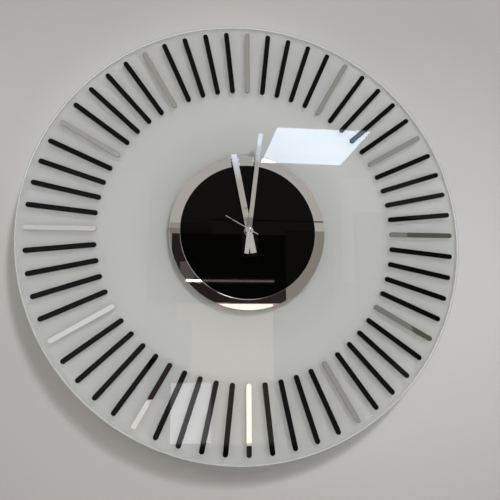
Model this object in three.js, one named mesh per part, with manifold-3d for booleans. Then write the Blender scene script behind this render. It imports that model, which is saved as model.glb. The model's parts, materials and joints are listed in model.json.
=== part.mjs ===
// Wall clock with a round glass dial, sixty bar markers and a quartz movement.
// Millimetres. +Z is up, +Y goes into the wall, and the dial faces -Y.
// The origin is the wall screw's seat in the keyhole of the hanging bracket, on the plane of the wall.
import * as THREE from "three";
import { mergeVertices } from "three/addons/utils/BufferGeometryUtils.js";
import Module from "manifold-3d";

const wasm = await Module();
wasm.setup();

// Dial glass and the lacquer on its back
const DIAL_RADIUS = 300;
const GLASS_THICKNESS = 4;
const GLASS_EDGE_ROUNDING = 0.6;
const GLASS_BEVEL_WIDTH = 3.2;
const GLASS_BEVEL_DEPTH = 0.3;
const LACQUER_THICKNESS = 0.4;
const LACQUER_MARGIN = 1;
const WALL_GAP = 24;
const HANGER_INSET = 85;
const HANGER_RISE = DIAL_RADIUS - HANGER_INSET;

// Bar markers, one a minute, with a mirror bar at each hour
const MARKERS = 60;
const MARKERS_PER_HOUR = 5;
const MARKER_LENGTH = 91;
const MARKER_WIDTH = 6.3;
const MARKER_THICKNESS = 2;
const MARKER_INSET = 11;
const MARKER_SEAT = 1;
const MARKER_END_FACETS = 8;

// Mirror disc and black disc in the middle of the dial
const MIRROR_DISC_RADIUS = 105;
const MIRROR_DISC_THICKNESS = 3;
const BLACK_DISC_RADIUS = 91;
const BLACK_DISC_THICKNESS = 3;
const DISC_EDGE_ROUNDING = 0.4;

// Hands: length and tail run from the shaft, angles are clockwise from twelve
const HOUR_HAND_LENGTH = 106.5;
const HOUR_HAND_TAIL = 31;
const HOUR_HAND_WIDTH = 8;
const HOUR_HAND_THICKNESS = 0.6;
const HOUR_HAND_BOSS = 5.5;
const HOUR_HAND_ANGLE = -11;
const MINUTE_HAND_LENGTH = 135.5;
const MINUTE_HAND_TAIL = 32;
const MINUTE_HAND_WIDTH = 5.8;
const MINUTE_HAND_THICKNESS = 0.5;
const MINUTE_HAND_BOSS = 4.8;
const MINUTE_HAND_ANGLE = 6.9;
const SECONDS_HAND_LENGTH = 36;
const SECONDS_HAND_TAIL = 13;
const SECONDS_HAND_WIDTH = 1;
const SECONDS_HAND_THICKNESS = 0.4;
const SECONDS_HAND_BOSS = 1.9;
const SECONDS_HAND_ANGLE = -60.5;
const HAND_SPACING = 2.5;
const HAND_CLEARANCE = 0.4;
const HOUR_COLLAR_THICKNESS = 0.8;
const HOUR_COLLAR_WALL = 1.2;
const MINUTE_NUT_THICKNESS = 1.4;
const MINUTE_NUT_WALL = 1.5;
const SECONDS_CAP_RADIUS = 2.2;
const SECONDS_CAP_HEIGHT = 1;
const SECONDS_TUBE_LENGTH = 1;
const SECONDS_TUBE_WALL = 0.55;

// Shafts, one inside the other, and the threaded bush that clamps the movement to the glass
const SECONDS_ARBOR_RADIUS = 0.5;
const CANNON_WALL = 0.95;
const HOUR_PIPE_WALL = 0.8;
const BUSH_WALL = 1.3;
const BUSH_FLANGE_WIDTH = 2;
const BUSH_FLANGE_THICKNESS = 0.9;
const BUSH_SPIGOT_WALL = 0.9;
const BUSH_PROUD = 0.5;
const BUSH_CHAMFER = 0.4;
const SHAFT_CLEARANCE = 0.15;
const FIT_CLEARANCE = 0.1;
const GLASS_HOLE_CLEARANCE = 1;
const DISC_HOLE_CLEARANCE = 0.2;
const WASHER_THICKNESS = 0.5;
const WASHER_RADIUS = 6.2;
const NUT_THICKNESS = 2.5;
const NUT_ACROSS_FLATS = 11;
const NUT_CHAMFER = 0.4;
const GASKET_THICKNESS = 1;
const GASKET_RADIUS = 12;
const GASKET_CLEARANCE = 0.3;

// Battery, an AA cell that lies across the bottom of the movement
const BATTERY_RADIUS = 7.25;
const BATTERY_LENGTH = 50.5;
const BATTERY_NUB_RADIUS = 2.75;
const BATTERY_NUB_LENGTH = 1;
const BATTERY_RIM = 0.6;
const BATTERY_CLEARANCE = 0.15;
const BATTERY_SIDE_CLEARANCE = 0.5;

// Contact springs, bent from strip
const CONTACT_THICKNESS = 0.3;
const CONTACT_WIDTH = 5.5;
const CONTACT_ROOM = 1.55;
const CONTACT_LANE = 0.55;
const CONTACT_TOP_LANE = 0.75;
const CONTACT_RAISE = 0.5;
const CONTACT_END_GAP = 1.2;

// Movement case and its cover
const CASE_WALL = 1.2;
const CASE_CORNER = 3;
const COVER_THICKNESS = 1.2;
const COVER_CLEARANCE = 0.2;
const PILLAR_RADIUS = 2.4;
const PILLAR_PIN_RADIUS = 1.2;
const PILLAR_INSET = 2.7;
const FINGER_NOTCH_WIDTH = 18;
const FINGER_NOTCH_DEPTH = 6;
const COVER_RIB_HEIGHT = 0.6;
const COVER_RIB_WIDTH = 1;
const PIVOT_BOSS_RADIUS = 1.3;
const PIVOT_BOSS_HEIGHT = 1.4;

// Gear train: counts of teeth, distances between arbors and the directions they lie in
const ROTOR_PINION_TEETH = 6;
const INTERMEDIATE_WHEEL_TEETH = 36;
const INTERMEDIATE_PINION_TEETH = 6;
const SECONDS_WHEEL_TEETH = 30;
const SECONDS_PINION_TEETH = 6;
const THIRD_WHEEL_TEETH = 45;
const THIRD_PINION_TEETH = 6;
const CENTRE_WHEEL_TEETH = 48;
const CANNON_PINION_TEETH = 8;
const MINUTE_WHEEL_TEETH = 24;
const MINUTE_PINION_TEETH = 8;
const HOUR_WHEEL_TEETH = 32;
const SETTING_PINION_TEETH = 8;
const ROTOR_DISTANCE = 7.4;
const INTERMEDIATE_DISTANCE = 12.4;
const THIRD_DISTANCE = 12.24;
const MINUTE_DISTANCE = 12;
const ROTOR_DIRECTION = 45;
const INTERMEDIATE_DIRECTION = -20;
const THIRD_DIRECTION = 115;
const MINUTE_DIRECTION = 194.5;
const SETTING_DIRECTION = 145.5;
const ADDENDUM = 0.8;
const DEDENDUM = 1.15;
const TOOTH_ROOT_HALF = 0.32;
const TOOTH_TIP_HALF = 0.12;

// Wheels and arbors
const MOTION_WHEEL_THICKNESS = 1;
const TRAIN_WHEEL_THICKNESS = 0.8;
const WHEEL_GAP = 0.4;
const TRAIN_GAP = 0.8;
const PINION_OVERHANG = 0.2;
const PIVOT_RADIUS = 0.4;
const ARBOR_RADIUS = 0.75;
const PIVOT_CLEARANCE = 0.1;
const END_PLAY = 0.1;
const MINUTE_POST_RADIUS = 1;
const CENTRE_HUB_WALL = 0.9;
const TRAIN_PLATE_THICKNESS = 1;
const TRAIN_PLATE_CLEARANCE = 0.8;
const TRAIN_PLATE_CORNER = 1;
const CHAMBER_TOP_ROOM = 1.6;
const CHAMBER_BOTTOM_ROOM = 0.7;

// Setting knob on the back
const KNOB_RADIUS = 4.6;
const KNOB_THICKNESS = 3;
const KNOB_GROOVES = 18;
const KNOB_GROOVE_DEPTH = 0.35;
const KNOB_STANDOFF = 0.3;
const STEM_RADIUS = 1.2;
const STEM_PIVOT_RADIUS = 0.6;
const STEM_BOSS_WALL = 0.9;

// Stepping motor
const MAGNET_RADIUS = 3.2;
const MAGNET_THICKNESS = 1.6;
const MAGNET_GAP = 0.5;
const STATOR_THICKNESS = 0.8;
const STATOR_LAND = 1.2;
const STATOR_RAISE = 0.7;
const COIL_LENGTH = 18;
const COIL_CENTRE_Z = 2.5;
const COIL_RADIUS = 3.2;
const COIL_CLEARANCE = 0.5;
const BOBBIN_FLANGE = 6.8;
const BOBBIN_FLANGE_THICKNESS = 1;
const BOBBIN_TUBE_RADIUS = 2.6;
const CORE_WIDTH = 4;
const CORE_THICKNESS = 0.8;

// Circuit board
const BOARD_WIDTH = 14.5;
const BOARD_HEIGHT = 8.6;
const BOARD_THICKNESS = 1;
const BOARD_CLEARANCE = 0.3;
const BOARD_POST_RADIUS = 1.2;
const BOARD_BEHIND_PLATE = 5.3;
const CHIP_RADIUS = 2.6;
const CHIP_HEIGHT = 1;
const CHIP_SHOULDER_RADIUS = 2.1;
const CHIP_SHOULDER_HEIGHT = 0.7;
const CRYSTAL_RADIUS = 1;
const CRYSTAL_LENGTH = 6;

// Hanging bracket, a top-hat section of sheet steel, and its glue pads
const BRACKET_WEB_WIDTH = 44;
const BRACKET_SPLAY = 4;
const BRACKET_FLANGE_WIDTH = 18;
const BRACKET_HEIGHT = 40;
const BRACKET_THICKNESS = 1.2;
const BRACKET_ABOVE_SEAT = 14;
const PAD_THICKNESS = 1;
const PAD_MARGIN = 1.5;
const KEYHOLE_SLOT_RADIUS = 2.7;
const KEYHOLE_HEAD_RADIUS = 5.2;
const KEYHOLE_DROP = 12;

// Spacers that hold the bottom of the dial off the wall
const SPACER_APART = 190;
const SPACER_INSET = 130;
const SPACER_DROP = DIAL_RADIUS - SPACER_INSET;
const SPACER_BASE_RADIUS = 14;
const SPACER_BASE_THICKNESS = 1.5;
const SPACER_NECK_RADIUS = 8.5;
const SPACER_TAPER = 3;
const SPACER_HEAD_RADIUS = 10.5;
const FELT_THICKNESS = 1.5;
const FELT_MARGIN = 0.3;

// Facets of a full circle
const RIM_FACETS = 96;
const DISC_FACETS = 64;
const ROUND_FACETS = 16;
const FINE_FACETS = 10;
const CUT_OVERRUN = 1;

// Planes from the wall forward, as Y
const LACQUER_BACK = -WALL_GAP;
const GLASS_BACK = LACQUER_BACK - LACQUER_THICKNESS;
const GLASS_FRONT = GLASS_BACK - GLASS_THICKNESS;
const MIRROR_FRONT = GLASS_FRONT - MIRROR_DISC_THICKNESS;
const BLACK_FRONT = MIRROR_FRONT - BLACK_DISC_THICKNESS;
const WASHER_FRONT = BLACK_FRONT - WASHER_THICKNESS;
const NUT_FRONT = WASHER_FRONT - NUT_THICKNESS;
const BUSH_FRONT = NUT_FRONT - BUSH_PROUD;
const HOUR_HAND_BACK = BUSH_FRONT - HOUR_COLLAR_THICKNESS - HAND_CLEARANCE;
const HOUR_HAND_FRONT = HOUR_HAND_BACK - HOUR_HAND_THICKNESS;
const MINUTE_HAND_BACK = HOUR_HAND_FRONT - HAND_SPACING;
const MINUTE_HAND_FRONT = MINUTE_HAND_BACK - MINUTE_HAND_THICKNESS;
const MINUTE_NUT_FRONT = MINUTE_HAND_FRONT - MINUTE_NUT_THICKNESS;
const SECONDS_TUBE_BACK = MINUTE_NUT_FRONT - HAND_CLEARANCE;
const SECONDS_HAND_FRONT = SECONDS_TUBE_BACK - SECONDS_TUBE_LENGTH;

// Planes of the movement, as Y
const CASE_FRONT = LACQUER_BACK + GASKET_THICKNESS;
const CASE_DEPTH = CASE_WALL + 2 * BATTERY_RADIUS + 2 * BATTERY_CLEARANCE;
const CASE_REAR = CASE_FRONT + CASE_DEPTH;
const CASE_FLOOR = CASE_FRONT + CASE_WALL;
const HOUR_WHEEL_FRONT = CASE_FLOOR + WHEEL_GAP;
const HOUR_WHEEL_BACK = HOUR_WHEEL_FRONT + MOTION_WHEEL_THICKNESS;
const MINUTE_WHEEL_FRONT = HOUR_WHEEL_BACK + WHEEL_GAP + PINION_OVERHANG;
const MINUTE_WHEEL_BACK = MINUTE_WHEEL_FRONT + MOTION_WHEEL_THICKNESS;
const PLATE_FRONT = MINUTE_WHEEL_BACK + WHEEL_GAP + PINION_OVERHANG;
const PLATE_BACK = PLATE_FRONT + TRAIN_PLATE_THICKNESS;
const CENTRE_WHEEL_FRONT = PLATE_BACK + WHEEL_GAP;
const CENTRE_WHEEL_BACK = CENTRE_WHEEL_FRONT + TRAIN_WHEEL_THICKNESS;
const THIRD_WHEEL_FRONT = CENTRE_WHEEL_BACK + TRAIN_GAP + WHEEL_GAP;
const THIRD_WHEEL_BACK = THIRD_WHEEL_FRONT + TRAIN_WHEEL_THICKNESS;
const SECONDS_WHEEL_FRONT = THIRD_WHEEL_BACK + TRAIN_GAP;
const SECONDS_WHEEL_BACK = SECONDS_WHEEL_FRONT + TRAIN_WHEEL_THICKNESS;
const INTERMEDIATE_WHEEL_FRONT = SECONDS_WHEEL_BACK + TRAIN_GAP;
const INTERMEDIATE_WHEEL_BACK = INTERMEDIATE_WHEEL_FRONT + TRAIN_WHEEL_THICKNESS;
const COVER_INSIDE = CASE_REAR - COVER_THICKNESS;
const PIVOT_FRONT = PLATE_FRONT + END_PLAY;
const PIVOT_BACK = COVER_INSIDE - END_PLAY;
const BOSS_FRONT = COVER_INSIDE - PIVOT_BOSS_HEIGHT;
const STATOR_FRONT = PLATE_BACK + STATOR_RAISE;
const STATOR_BACK = STATOR_FRONT + STATOR_THICKNESS;
const BOARD_FRONT = PLATE_BACK + BOARD_BEHIND_PLATE;
const BOARD_BACK = BOARD_FRONT + BOARD_THICKNESS;

// Radii of the nested shafts
const CANNON_BORE = SECONDS_ARBOR_RADIUS + SHAFT_CLEARANCE;
const CANNON_RADIUS = CANNON_BORE + CANNON_WALL;
const HOUR_PIPE_BORE = CANNON_RADIUS + SHAFT_CLEARANCE;
const HOUR_PIPE_RADIUS = HOUR_PIPE_BORE + HOUR_PIPE_WALL;
const BUSH_BORE = HOUR_PIPE_RADIUS + SHAFT_CLEARANCE;
const BUSH_RADIUS = BUSH_BORE + BUSH_WALL;
const BUSH_FLANGE_RADIUS = BUSH_RADIUS + BUSH_FLANGE_WIDTH;
const BUSH_SPIGOT_RADIUS = BUSH_BORE + BUSH_SPIGOT_WALL;
const GLASS_HOLE_RADIUS = BUSH_RADIUS + GLASS_HOLE_CLEARANCE;
const DISC_HOLE_RADIUS = BUSH_RADIUS + DISC_HOLE_CLEARANCE;

// Modules of the gear pairs, each from its distance and teeth
const pairModule = (distance, teethA, teethB) => (2 * distance) / (teethA + teethB);
const ROTOR_MODULE = pairModule(ROTOR_DISTANCE, ROTOR_PINION_TEETH, INTERMEDIATE_WHEEL_TEETH);
const INTERMEDIATE_MODULE = pairModule(INTERMEDIATE_DISTANCE, INTERMEDIATE_PINION_TEETH, SECONDS_WHEEL_TEETH);
const SECONDS_MODULE = pairModule(THIRD_DISTANCE, SECONDS_PINION_TEETH, THIRD_WHEEL_TEETH);
const THIRD_MODULE = pairModule(THIRD_DISTANCE, THIRD_PINION_TEETH, CENTRE_WHEEL_TEETH);
const CANNON_MODULE = pairModule(MINUTE_DISTANCE, CANNON_PINION_TEETH, MINUTE_WHEEL_TEETH);
const MINUTE_MODULE = pairModule(MINUTE_DISTANCE, MINUTE_PINION_TEETH, HOUR_WHEEL_TEETH);
const SETTING_DISTANCE = (CANNON_MODULE * (SETTING_PINION_TEETH + MINUTE_WHEEL_TEETH)) / 2;
const tipRadius = (teeth, module) => module * (teeth / 2 + ADDENDUM);
const rootRadius = (teeth, module) => module * (teeth / 2 - DEDENDUM);

// Where the bracket's flanges begin and what plane they lie on
const BRACKET_FOOT = BRACKET_WEB_WIDTH / 2 + BRACKET_SPLAY;
const BRACKET_FLANGE_FRONT = LACQUER_BACK + PAD_THICKNESS;

// Places of the arbors on the dial, X to the right and Z up from the hand shaft
const CENTRE = new THREE.Vector2(0, 0);
const stepFrom = (from, distance, degrees) => {
  const angle = THREE.MathUtils.degToRad(degrees);
  return new THREE.Vector2(from.x + distance * Math.cos(angle), from.y + distance * Math.sin(angle));
};
const INTERMEDIATE_PLACE = stepFrom(CENTRE, INTERMEDIATE_DISTANCE, INTERMEDIATE_DIRECTION);
const ROTOR_PLACE = stepFrom(INTERMEDIATE_PLACE, ROTOR_DISTANCE, ROTOR_DIRECTION);
const THIRD_PLACE = stepFrom(CENTRE, THIRD_DISTANCE, THIRD_DIRECTION);
const MINUTE_PLACE = stepFrom(CENTRE, MINUTE_DISTANCE, MINUTE_DIRECTION);
const SETTING_PLACE = stepFrom(MINUTE_PLACE, SETTING_DISTANCE, SETTING_DIRECTION);

// Inside and outside of the case, from the shaft
const CHAMBER_HALF_WIDTH = BATTERY_LENGTH / 2 + CONTACT_ROOM;
const CHAMBER_TOP = THIRD_PLACE.y + tipRadius(THIRD_WHEEL_TEETH, SECONDS_MODULE) + CHAMBER_TOP_ROOM;
const CHAMBER_BOTTOM =
  MINUTE_PLACE.y - tipRadius(MINUTE_WHEEL_TEETH, CANNON_MODULE) - CHAMBER_BOTTOM_ROOM;
const BAY_TOP = CHAMBER_BOTTOM - CASE_WALL;
const BAY_BOTTOM = BAY_TOP - 2 * (BATTERY_RADIUS + BATTERY_SIDE_CLEARANCE);
const BATTERY_Z = (BAY_TOP + BAY_BOTTOM) / 2;
const BATTERY_Y = CASE_FLOOR + BATTERY_CLEARANCE + BATTERY_RADIUS;
const CASE_HALF_WIDTH = CHAMBER_HALF_WIDTH + CASE_WALL;
const CASE_TOP = CHAMBER_TOP + CASE_WALL;
const CASE_BOTTOM = BAY_BOTTOM - CASE_WALL;
const PILLAR_X = CHAMBER_HALF_WIDTH - PILLAR_INSET;
const PILLAR_PLACES = [
  new THREE.Vector2(-PILLAR_X, CHAMBER_BOTTOM + PILLAR_INSET),
  new THREE.Vector2(PILLAR_X, CHAMBER_BOTTOM + PILLAR_INSET),
  new THREE.Vector2(PILLAR_X, CHAMBER_TOP - PILLAR_INSET),
  new THREE.Vector2(-PILLAR_X, CHAMBER_TOP - PILLAR_INSET),
];

// Places in the motor and on the board
const CONTACT_X = CHAMBER_HALF_WIDTH - CONTACT_LANE;
const CONTACT_FRONT = BATTERY_Y - CONTACT_WIDTH / 2 + CONTACT_RAISE;
const COIL_X = CONTACT_X - CONTACT_THICKNESS - COIL_CLEARANCE - BOBBIN_FLANGE / 2;
const COIL_Y = STATOR_BACK + BOBBIN_FLANGE / 2;
const CORE_HALF_LENGTH = COIL_LENGTH / 2 + BOBBIN_FLANGE_THICKNESS;
const BOARD_RIGHT = PILLAR_X - PILLAR_RADIUS - BOARD_CLEARANCE;
const BOARD_LEFT = BOARD_RIGHT - BOARD_WIDTH;
const BOARD_TOP = CHAMBER_TOP - TRAIN_PLATE_CLEARANCE;
const BOARD_BOTTOM = BOARD_TOP - BOARD_HEIGHT;
const BOARD_POSTS = [
  new THREE.Vector2(BOARD_LEFT + 2 * BOARD_POST_RADIUS, BOARD_TOP - 2 * BOARD_POST_RADIUS),
  new THREE.Vector2(BOARD_RIGHT - 2 * BOARD_POST_RADIUS, BOARD_TOP - 2 * BOARD_POST_RADIUS),
];

// Materials
const finish = (color, roughness, metalness, more = {}) =>
  new THREE.MeshStandardMaterial({ color, roughness, metalness, ...more });
const glassAndMarkers = finish(0xffffff, 0.06, 0, { vertexColors: true });
const lacquer = finish(0xd9ddd4, 0.5, 0);
const mirror = finish(0xd8d6d2, 0.04, 1);
const blackAcrylic = finish(0x08080a, 0.06, 0);
const handAluminium = finish(0xc6c2be, 0.22, 1);
const brass = finish(0xc9a24e, 0.3, 1);
const nickel = finish(0xbfc0c2, 0.25, 1);
const whitePlastic = finish(0xe6e4dc, 0.55, 0);
const blackPlastic = finish(0x1a1a1c, 0.5, 0);
const blackRubber = finish(0x161616, 0.85, 0);
const copper = finish(0xb0603a, 0.4, 1);
const magnetGrey = finish(0x4a4a4e, 0.5, 0.3);
const boardGreen = finish(0x2f6b3c, 0.5, 0);
const zincSteel = finish(0xa9adb0, 0.35, 1);
const batterySleeve = finish(0x2b4a78, 0.35, 0.2);
const foamTape = finish(0xd8d8d4, 0.9, 0);
const felt = finish(0x2c2c2e, 0.95, 0);
const GLASS_TINT = new THREE.Color(0xdfeae4);
const MARKER_TINT = new THREE.Color(0x0b0b0d);

// A closed geometry as a solid for joins and cuts.
function solidOf(geometry) {
  const bare = geometry.index ? geometry.toNonIndexed() : geometry.clone();
  bare.deleteAttribute("normal");
  bare.deleteAttribute("uv");
  const merged = mergeVertices(bare, 1e-4);
  return new wasm.Manifold(
    new wasm.Mesh({
      numProp: 3,
      vertProperties: merged.attributes.position.array,
      triVerts: new Uint32Array(merged.index.array),
    }),
  );
}

// A joined or cut solid as a geometry.
function geometryOf(solid) {
  const mesh = solid.getMesh();
  const geometry = new THREE.BufferGeometry();
  geometry.setAttribute("position", new THREE.BufferAttribute(mesh.vertProperties, 3));
  geometry.setIndex(new THREE.BufferAttribute(mesh.triVerts, 1));
  const faceted = geometry.toNonIndexed();
  faceted.computeVertexNormals();
  return faceted;
}

const joined = (first, ...others) => others.reduce((whole, piece) => whole.add(piece), first);
const without = (first, ...cuts) => cuts.reduce((whole, cut) => whole.subtract(cut), first);

// An outline drawn as seen from the front, given thickness from a front plane to a back plane.
function sheet(shape, front, back, facets = ROUND_FACETS) {
  const settings = { depth: back - front, bevelEnabled: false, curveSegments: facets / 2 };
  return new THREE.ExtrudeGeometry(shape, settings).rotateX(Math.PI / 2).translate(0, back, 0);
}

// A profile of [radius, y] pairs, turned about the shaft line.
function turned(profile, facets = ROUND_FACETS) {
  const points = profile.map(([radius, y]) => new THREE.Vector2(radius, y));
  return new THREE.LatheGeometry(points, facets);
}

// A flat ring or pipe about the shaft line.
function ring(bore, radius, front, back, facets = ROUND_FACETS) {
  return turned([[bore, front], [radius, front], [radius, back], [bore, back], [bore, front]], facets);
}

// A round rod about the shaft line.
function rod(radius, front, back, facets = ROUND_FACETS) {
  return turned([[0, front], [radius, front], [radius, back], [0, back]], facets);
}

// A rod parallel to the shaft line at a place on the dial.
function rodAt(place, radius, front, back, facets = ROUND_FACETS) {
  return rod(radius, front, back, facets).translate(place.x, 0, place.y);
}

// A box between two limits on each axis.
function block([left, right], [front, back], [low, high]) {
  const box = new THREE.BoxGeometry(right - left, back - front, high - low);
  return box.translate((left + right) / 2, (front + back) / 2, (low + high) / 2);
}

// A rectangle with round corners.
function roundedRectangle(left, right, low, high, corner) {
  const shape = new THREE.Shape();
  shape.moveTo(right, low + corner);
  shape.absarc(right - corner, high - corner, corner, 0, Math.PI / 2, false);
  shape.absarc(left + corner, high - corner, corner, Math.PI / 2, Math.PI, false);
  shape.absarc(left + corner, low + corner, corner, Math.PI, 1.5 * Math.PI, false);
  shape.absarc(right - corner, low + corner, corner, 1.5 * Math.PI, 2 * Math.PI, false);
  return shape;
}

// A strip of even thickness that follows bends, drawn on its edge.
function stripOutline(points, thickness) {
  const normals = points.slice(1).map((point, i) => {
    const along = point.clone().sub(points[i]).normalize();
    return new THREE.Vector2(-along.y, along.x);
  });
  const offsets = points.map((point, i) => {
    const before = normals[Math.max(i - 1, 0)];
    const after = normals[Math.min(i, normals.length - 1)];
    const middle = before.clone().add(after);
    return middle.multiplyScalar(thickness / middle.lengthSq());
  });
  const near = points.map((point, i) => point.clone().sub(offsets[i]));
  const far = points.map((point, i) => point.clone().add(offsets[i]));
  return new THREE.Shape([...near, ...far.reverse()]);
}

// A gear's outline with straight-sided teeth, the first tooth on the line to the right.
function toothedOutline(teeth, module) {
  const corners = [
    [-TOOTH_ROOT_HALF, rootRadius(teeth, module)],
    [-TOOTH_TIP_HALF, tipRadius(teeth, module)],
    [TOOTH_TIP_HALF, tipRadius(teeth, module)],
    [TOOTH_ROOT_HALF, rootRadius(teeth, module)],
  ];
  const points = [];
  for (let tooth = 0; tooth < teeth; tooth += 1) {
    for (const [share, radius] of corners) {
      const angle = ((tooth + share) * 2 * Math.PI) / teeth;
      points.push(new THREE.Vector2(radius * Math.cos(angle), radius * Math.sin(angle)));
    }
  }
  return new THREE.Shape(points);
}

const gear = (teeth, module, front, back) => solidOf(sheet(toothedOutline(teeth, module), front, back));

// Turn of the second gear of a pair, in radians, that puts a gap where the first gear has a tooth.
function meshedTurn(from, fromTeeth, fromTurn, to, toTeeth) {
  const line = Math.atan2(to.y - from.y, to.x - from.x);
  return line + Math.PI + Math.PI / toTeeth - ((fromTurn - line) * fromTeeth) / toTeeth;
}

// A named mesh, set at a place on the dial and turned about its own arbor.
function piece(name, shape, material, place = CENTRE, turn = 0) {
  const mesh = new THREE.Mesh(shape.isBufferGeometry ? shape : geometryOf(shape), material);
  mesh.name = name;
  mesh.position.set(place.x, 0, place.y);
  mesh.rotation.y = -turn;
  return mesh;
}

const clockwise = (degrees) => -THREE.MathUtils.degToRad(degrees);

// Dial

// One bar marker at twelve, with round ends.
function markerBar(front, back) {
  const half = MARKER_WIDTH / 2;
  const outer = DIAL_RADIUS - MARKER_INSET - half;
  const inner = DIAL_RADIUS - MARKER_INSET - MARKER_LENGTH + half;
  const outline = new THREE.Shape();
  outline.absarc(0, outer, half, 0, Math.PI, false);
  outline.absarc(0, inner, half, Math.PI, 2 * Math.PI, false);
  return sheet(outline, front, back, MARKER_END_FACETS);
}

// Round pane with a narrow polished bevel and an eased rim.
function pane() {
  const edge = GLASS_EDGE_ROUNDING;
  const bevelBack = GLASS_FRONT + GLASS_BEVEL_DEPTH;
  return turned(
    [
      [0, GLASS_FRONT],
      [DIAL_RADIUS - GLASS_BEVEL_WIDTH, GLASS_FRONT],
      [DIAL_RADIUS - edge, bevelBack],
      [DIAL_RADIUS, bevelBack + edge],
      [DIAL_RADIUS, GLASS_BACK - edge],
      [DIAL_RADIUS - edge, GLASS_BACK],
      [0, GLASS_BACK],
    ],
    RIM_FACETS,
  );
}

// Pane with the black minute markers bonded to its face, which come away with it.
function dialGlass() {
  const hole = rod(GLASS_HOLE_RADIUS, GLASS_FRONT - CUT_OVERRUN, GLASS_BACK + CUT_OVERRUN);
  let glass = without(solidOf(pane()), solidOf(hole));
  for (let minute = 0; minute < MARKERS; minute += 1) {
    if (minute % MARKERS_PER_HOUR !== 0) {
      const bar = markerBar(GLASS_FRONT - MARKER_THICKNESS, GLASS_FRONT + MARKER_SEAT);
      bar.rotateY(-clockwise((360 * minute) / MARKERS));
      glass = glass.add(solidOf(bar));
    }
  }
  const geometry = geometryOf(glass);
  const position = geometry.attributes.position;
  const colors = new Float32Array(position.count * 3);
  for (let corner = 0; corner < position.count; corner += 3) {
    const depths = [0, 1, 2].map((i) => position.getY(corner + i));
    const tint = Math.min(...depths) < GLASS_FRONT - MARKER_THICKNESS / 2 ? MARKER_TINT : GLASS_TINT;
    [0, 1, 2].forEach((i) => tint.toArray(colors, 3 * (corner + i)));
  }
  geometry.setAttribute("color", new THREE.BufferAttribute(colors, 3));
  return geometry;
}

// A disc of sheet with an eased front edge, bonded to what lies behind it.
function faceDisc(radius, front, back) {
  const edge = DISC_EDGE_ROUNDING;
  const disc = turned([[0, front], [radius - edge, front], [radius, front + edge], [radius, back], [0, back]],
    DISC_FACETS);
  return without(solidOf(disc), solidOf(rod(DISC_HOLE_RADIUS, front - CUT_OVERRUN, back + CUT_OVERRUN)));
}

// White lacquer on the back of the glass, short of its rim.
function whiteBacking() {
  const coat = rod(DIAL_RADIUS - LACQUER_MARGIN, GLASS_BACK, LACQUER_BACK, RIM_FACETS);
  const hole = rod(GLASS_HOLE_RADIUS, GLASS_BACK - CUT_OVERRUN, LACQUER_BACK + CUT_OVERRUN);
  return without(solidOf(coat), solidOf(hole));
}

// Hands

// Straight hand with square ends and a round boss about its bore, pointing to twelve.
function straightHand(length, tail, width, boss, bore, front, back) {
  const blade = block([-width / 2, width / 2], [front, back], [-tail, length]);
  const hole = rod(bore, front - CUT_OVERRUN, back + CUT_OVERRUN);
  return without(joined(solidOf(blade), solidOf(rod(boss, front, back))), solidOf(hole));
}

function hourHand() {
  return straightHand(HOUR_HAND_LENGTH, HOUR_HAND_TAIL, HOUR_HAND_WIDTH, HOUR_HAND_BOSS,
    HOUR_PIPE_RADIUS + FIT_CLEARANCE, HOUR_HAND_FRONT, HOUR_HAND_BACK);
}

function minuteHand() {
  return straightHand(MINUTE_HAND_LENGTH, MINUTE_HAND_TAIL, MINUTE_HAND_WIDTH, MINUTE_HAND_BOSS,
    CANNON_RADIUS + FIT_CLEARANCE, MINUTE_HAND_FRONT, MINUTE_HAND_BACK);
}

function secondsHand() {
  const tube = SECONDS_ARBOR_RADIUS + FIT_CLEARANCE / 2 + SECONDS_TUBE_WALL;
  return straightHand(SECONDS_HAND_LENGTH, SECONDS_HAND_TAIL, SECONDS_HAND_WIDTH, SECONDS_HAND_BOSS,
    tube + FIT_CLEARANCE, SECONDS_HAND_FRONT, SECONDS_HAND_FRONT + SECONDS_HAND_THICKNESS);
}

// Domed cap with the tube that grips the seconds arbor.
function secondsCap() {
  const bore = SECONDS_ARBOR_RADIUS + FIT_CLEARANCE / 2;
  const tube = bore + SECONDS_TUBE_WALL;
  const top = SECONDS_HAND_FRONT - SECONDS_CAP_HEIGHT;
  const shoulder = SECONDS_HAND_FRONT - SECONDS_CAP_HEIGHT / 2;
  const dome = [0, 30, 60, 90].map((degrees) => {
    const angle = THREE.MathUtils.degToRad(degrees);
    return [SECONDS_CAP_RADIUS * Math.sin(angle), shoulder - (shoulder - top) * Math.cos(angle)];
  });
  return turned([
    ...dome,
    [SECONDS_CAP_RADIUS, SECONDS_HAND_FRONT],
    [tube, SECONDS_HAND_FRONT],
    [tube, SECONDS_TUBE_BACK],
    [bore, SECONDS_TUBE_BACK],
    [bore, SECONDS_HAND_FRONT + END_PLAY],
    [0, SECONDS_HAND_FRONT + END_PLAY],
  ]);
}

// Fixing of the movement

// Tube with a flange that rests on the case and a spigot that locates in its hole.
function threadedBush() {
  const flangeFront = CASE_FRONT - BUSH_FLANGE_THICKNESS;
  return turned([
    [BUSH_BORE, BUSH_FRONT],
    [BUSH_RADIUS - BUSH_CHAMFER, BUSH_FRONT],
    [BUSH_RADIUS, BUSH_FRONT + BUSH_CHAMFER],
    [BUSH_RADIUS, flangeFront],
    [BUSH_FLANGE_RADIUS, flangeFront],
    [BUSH_FLANGE_RADIUS, CASE_FRONT],
    [BUSH_SPIGOT_RADIUS, CASE_FRONT],
    [BUSH_SPIGOT_RADIUS, CASE_FLOOR],
    [BUSH_BORE, CASE_FLOOR],
    [BUSH_BORE, BUSH_FRONT],
  ]);
}

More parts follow.
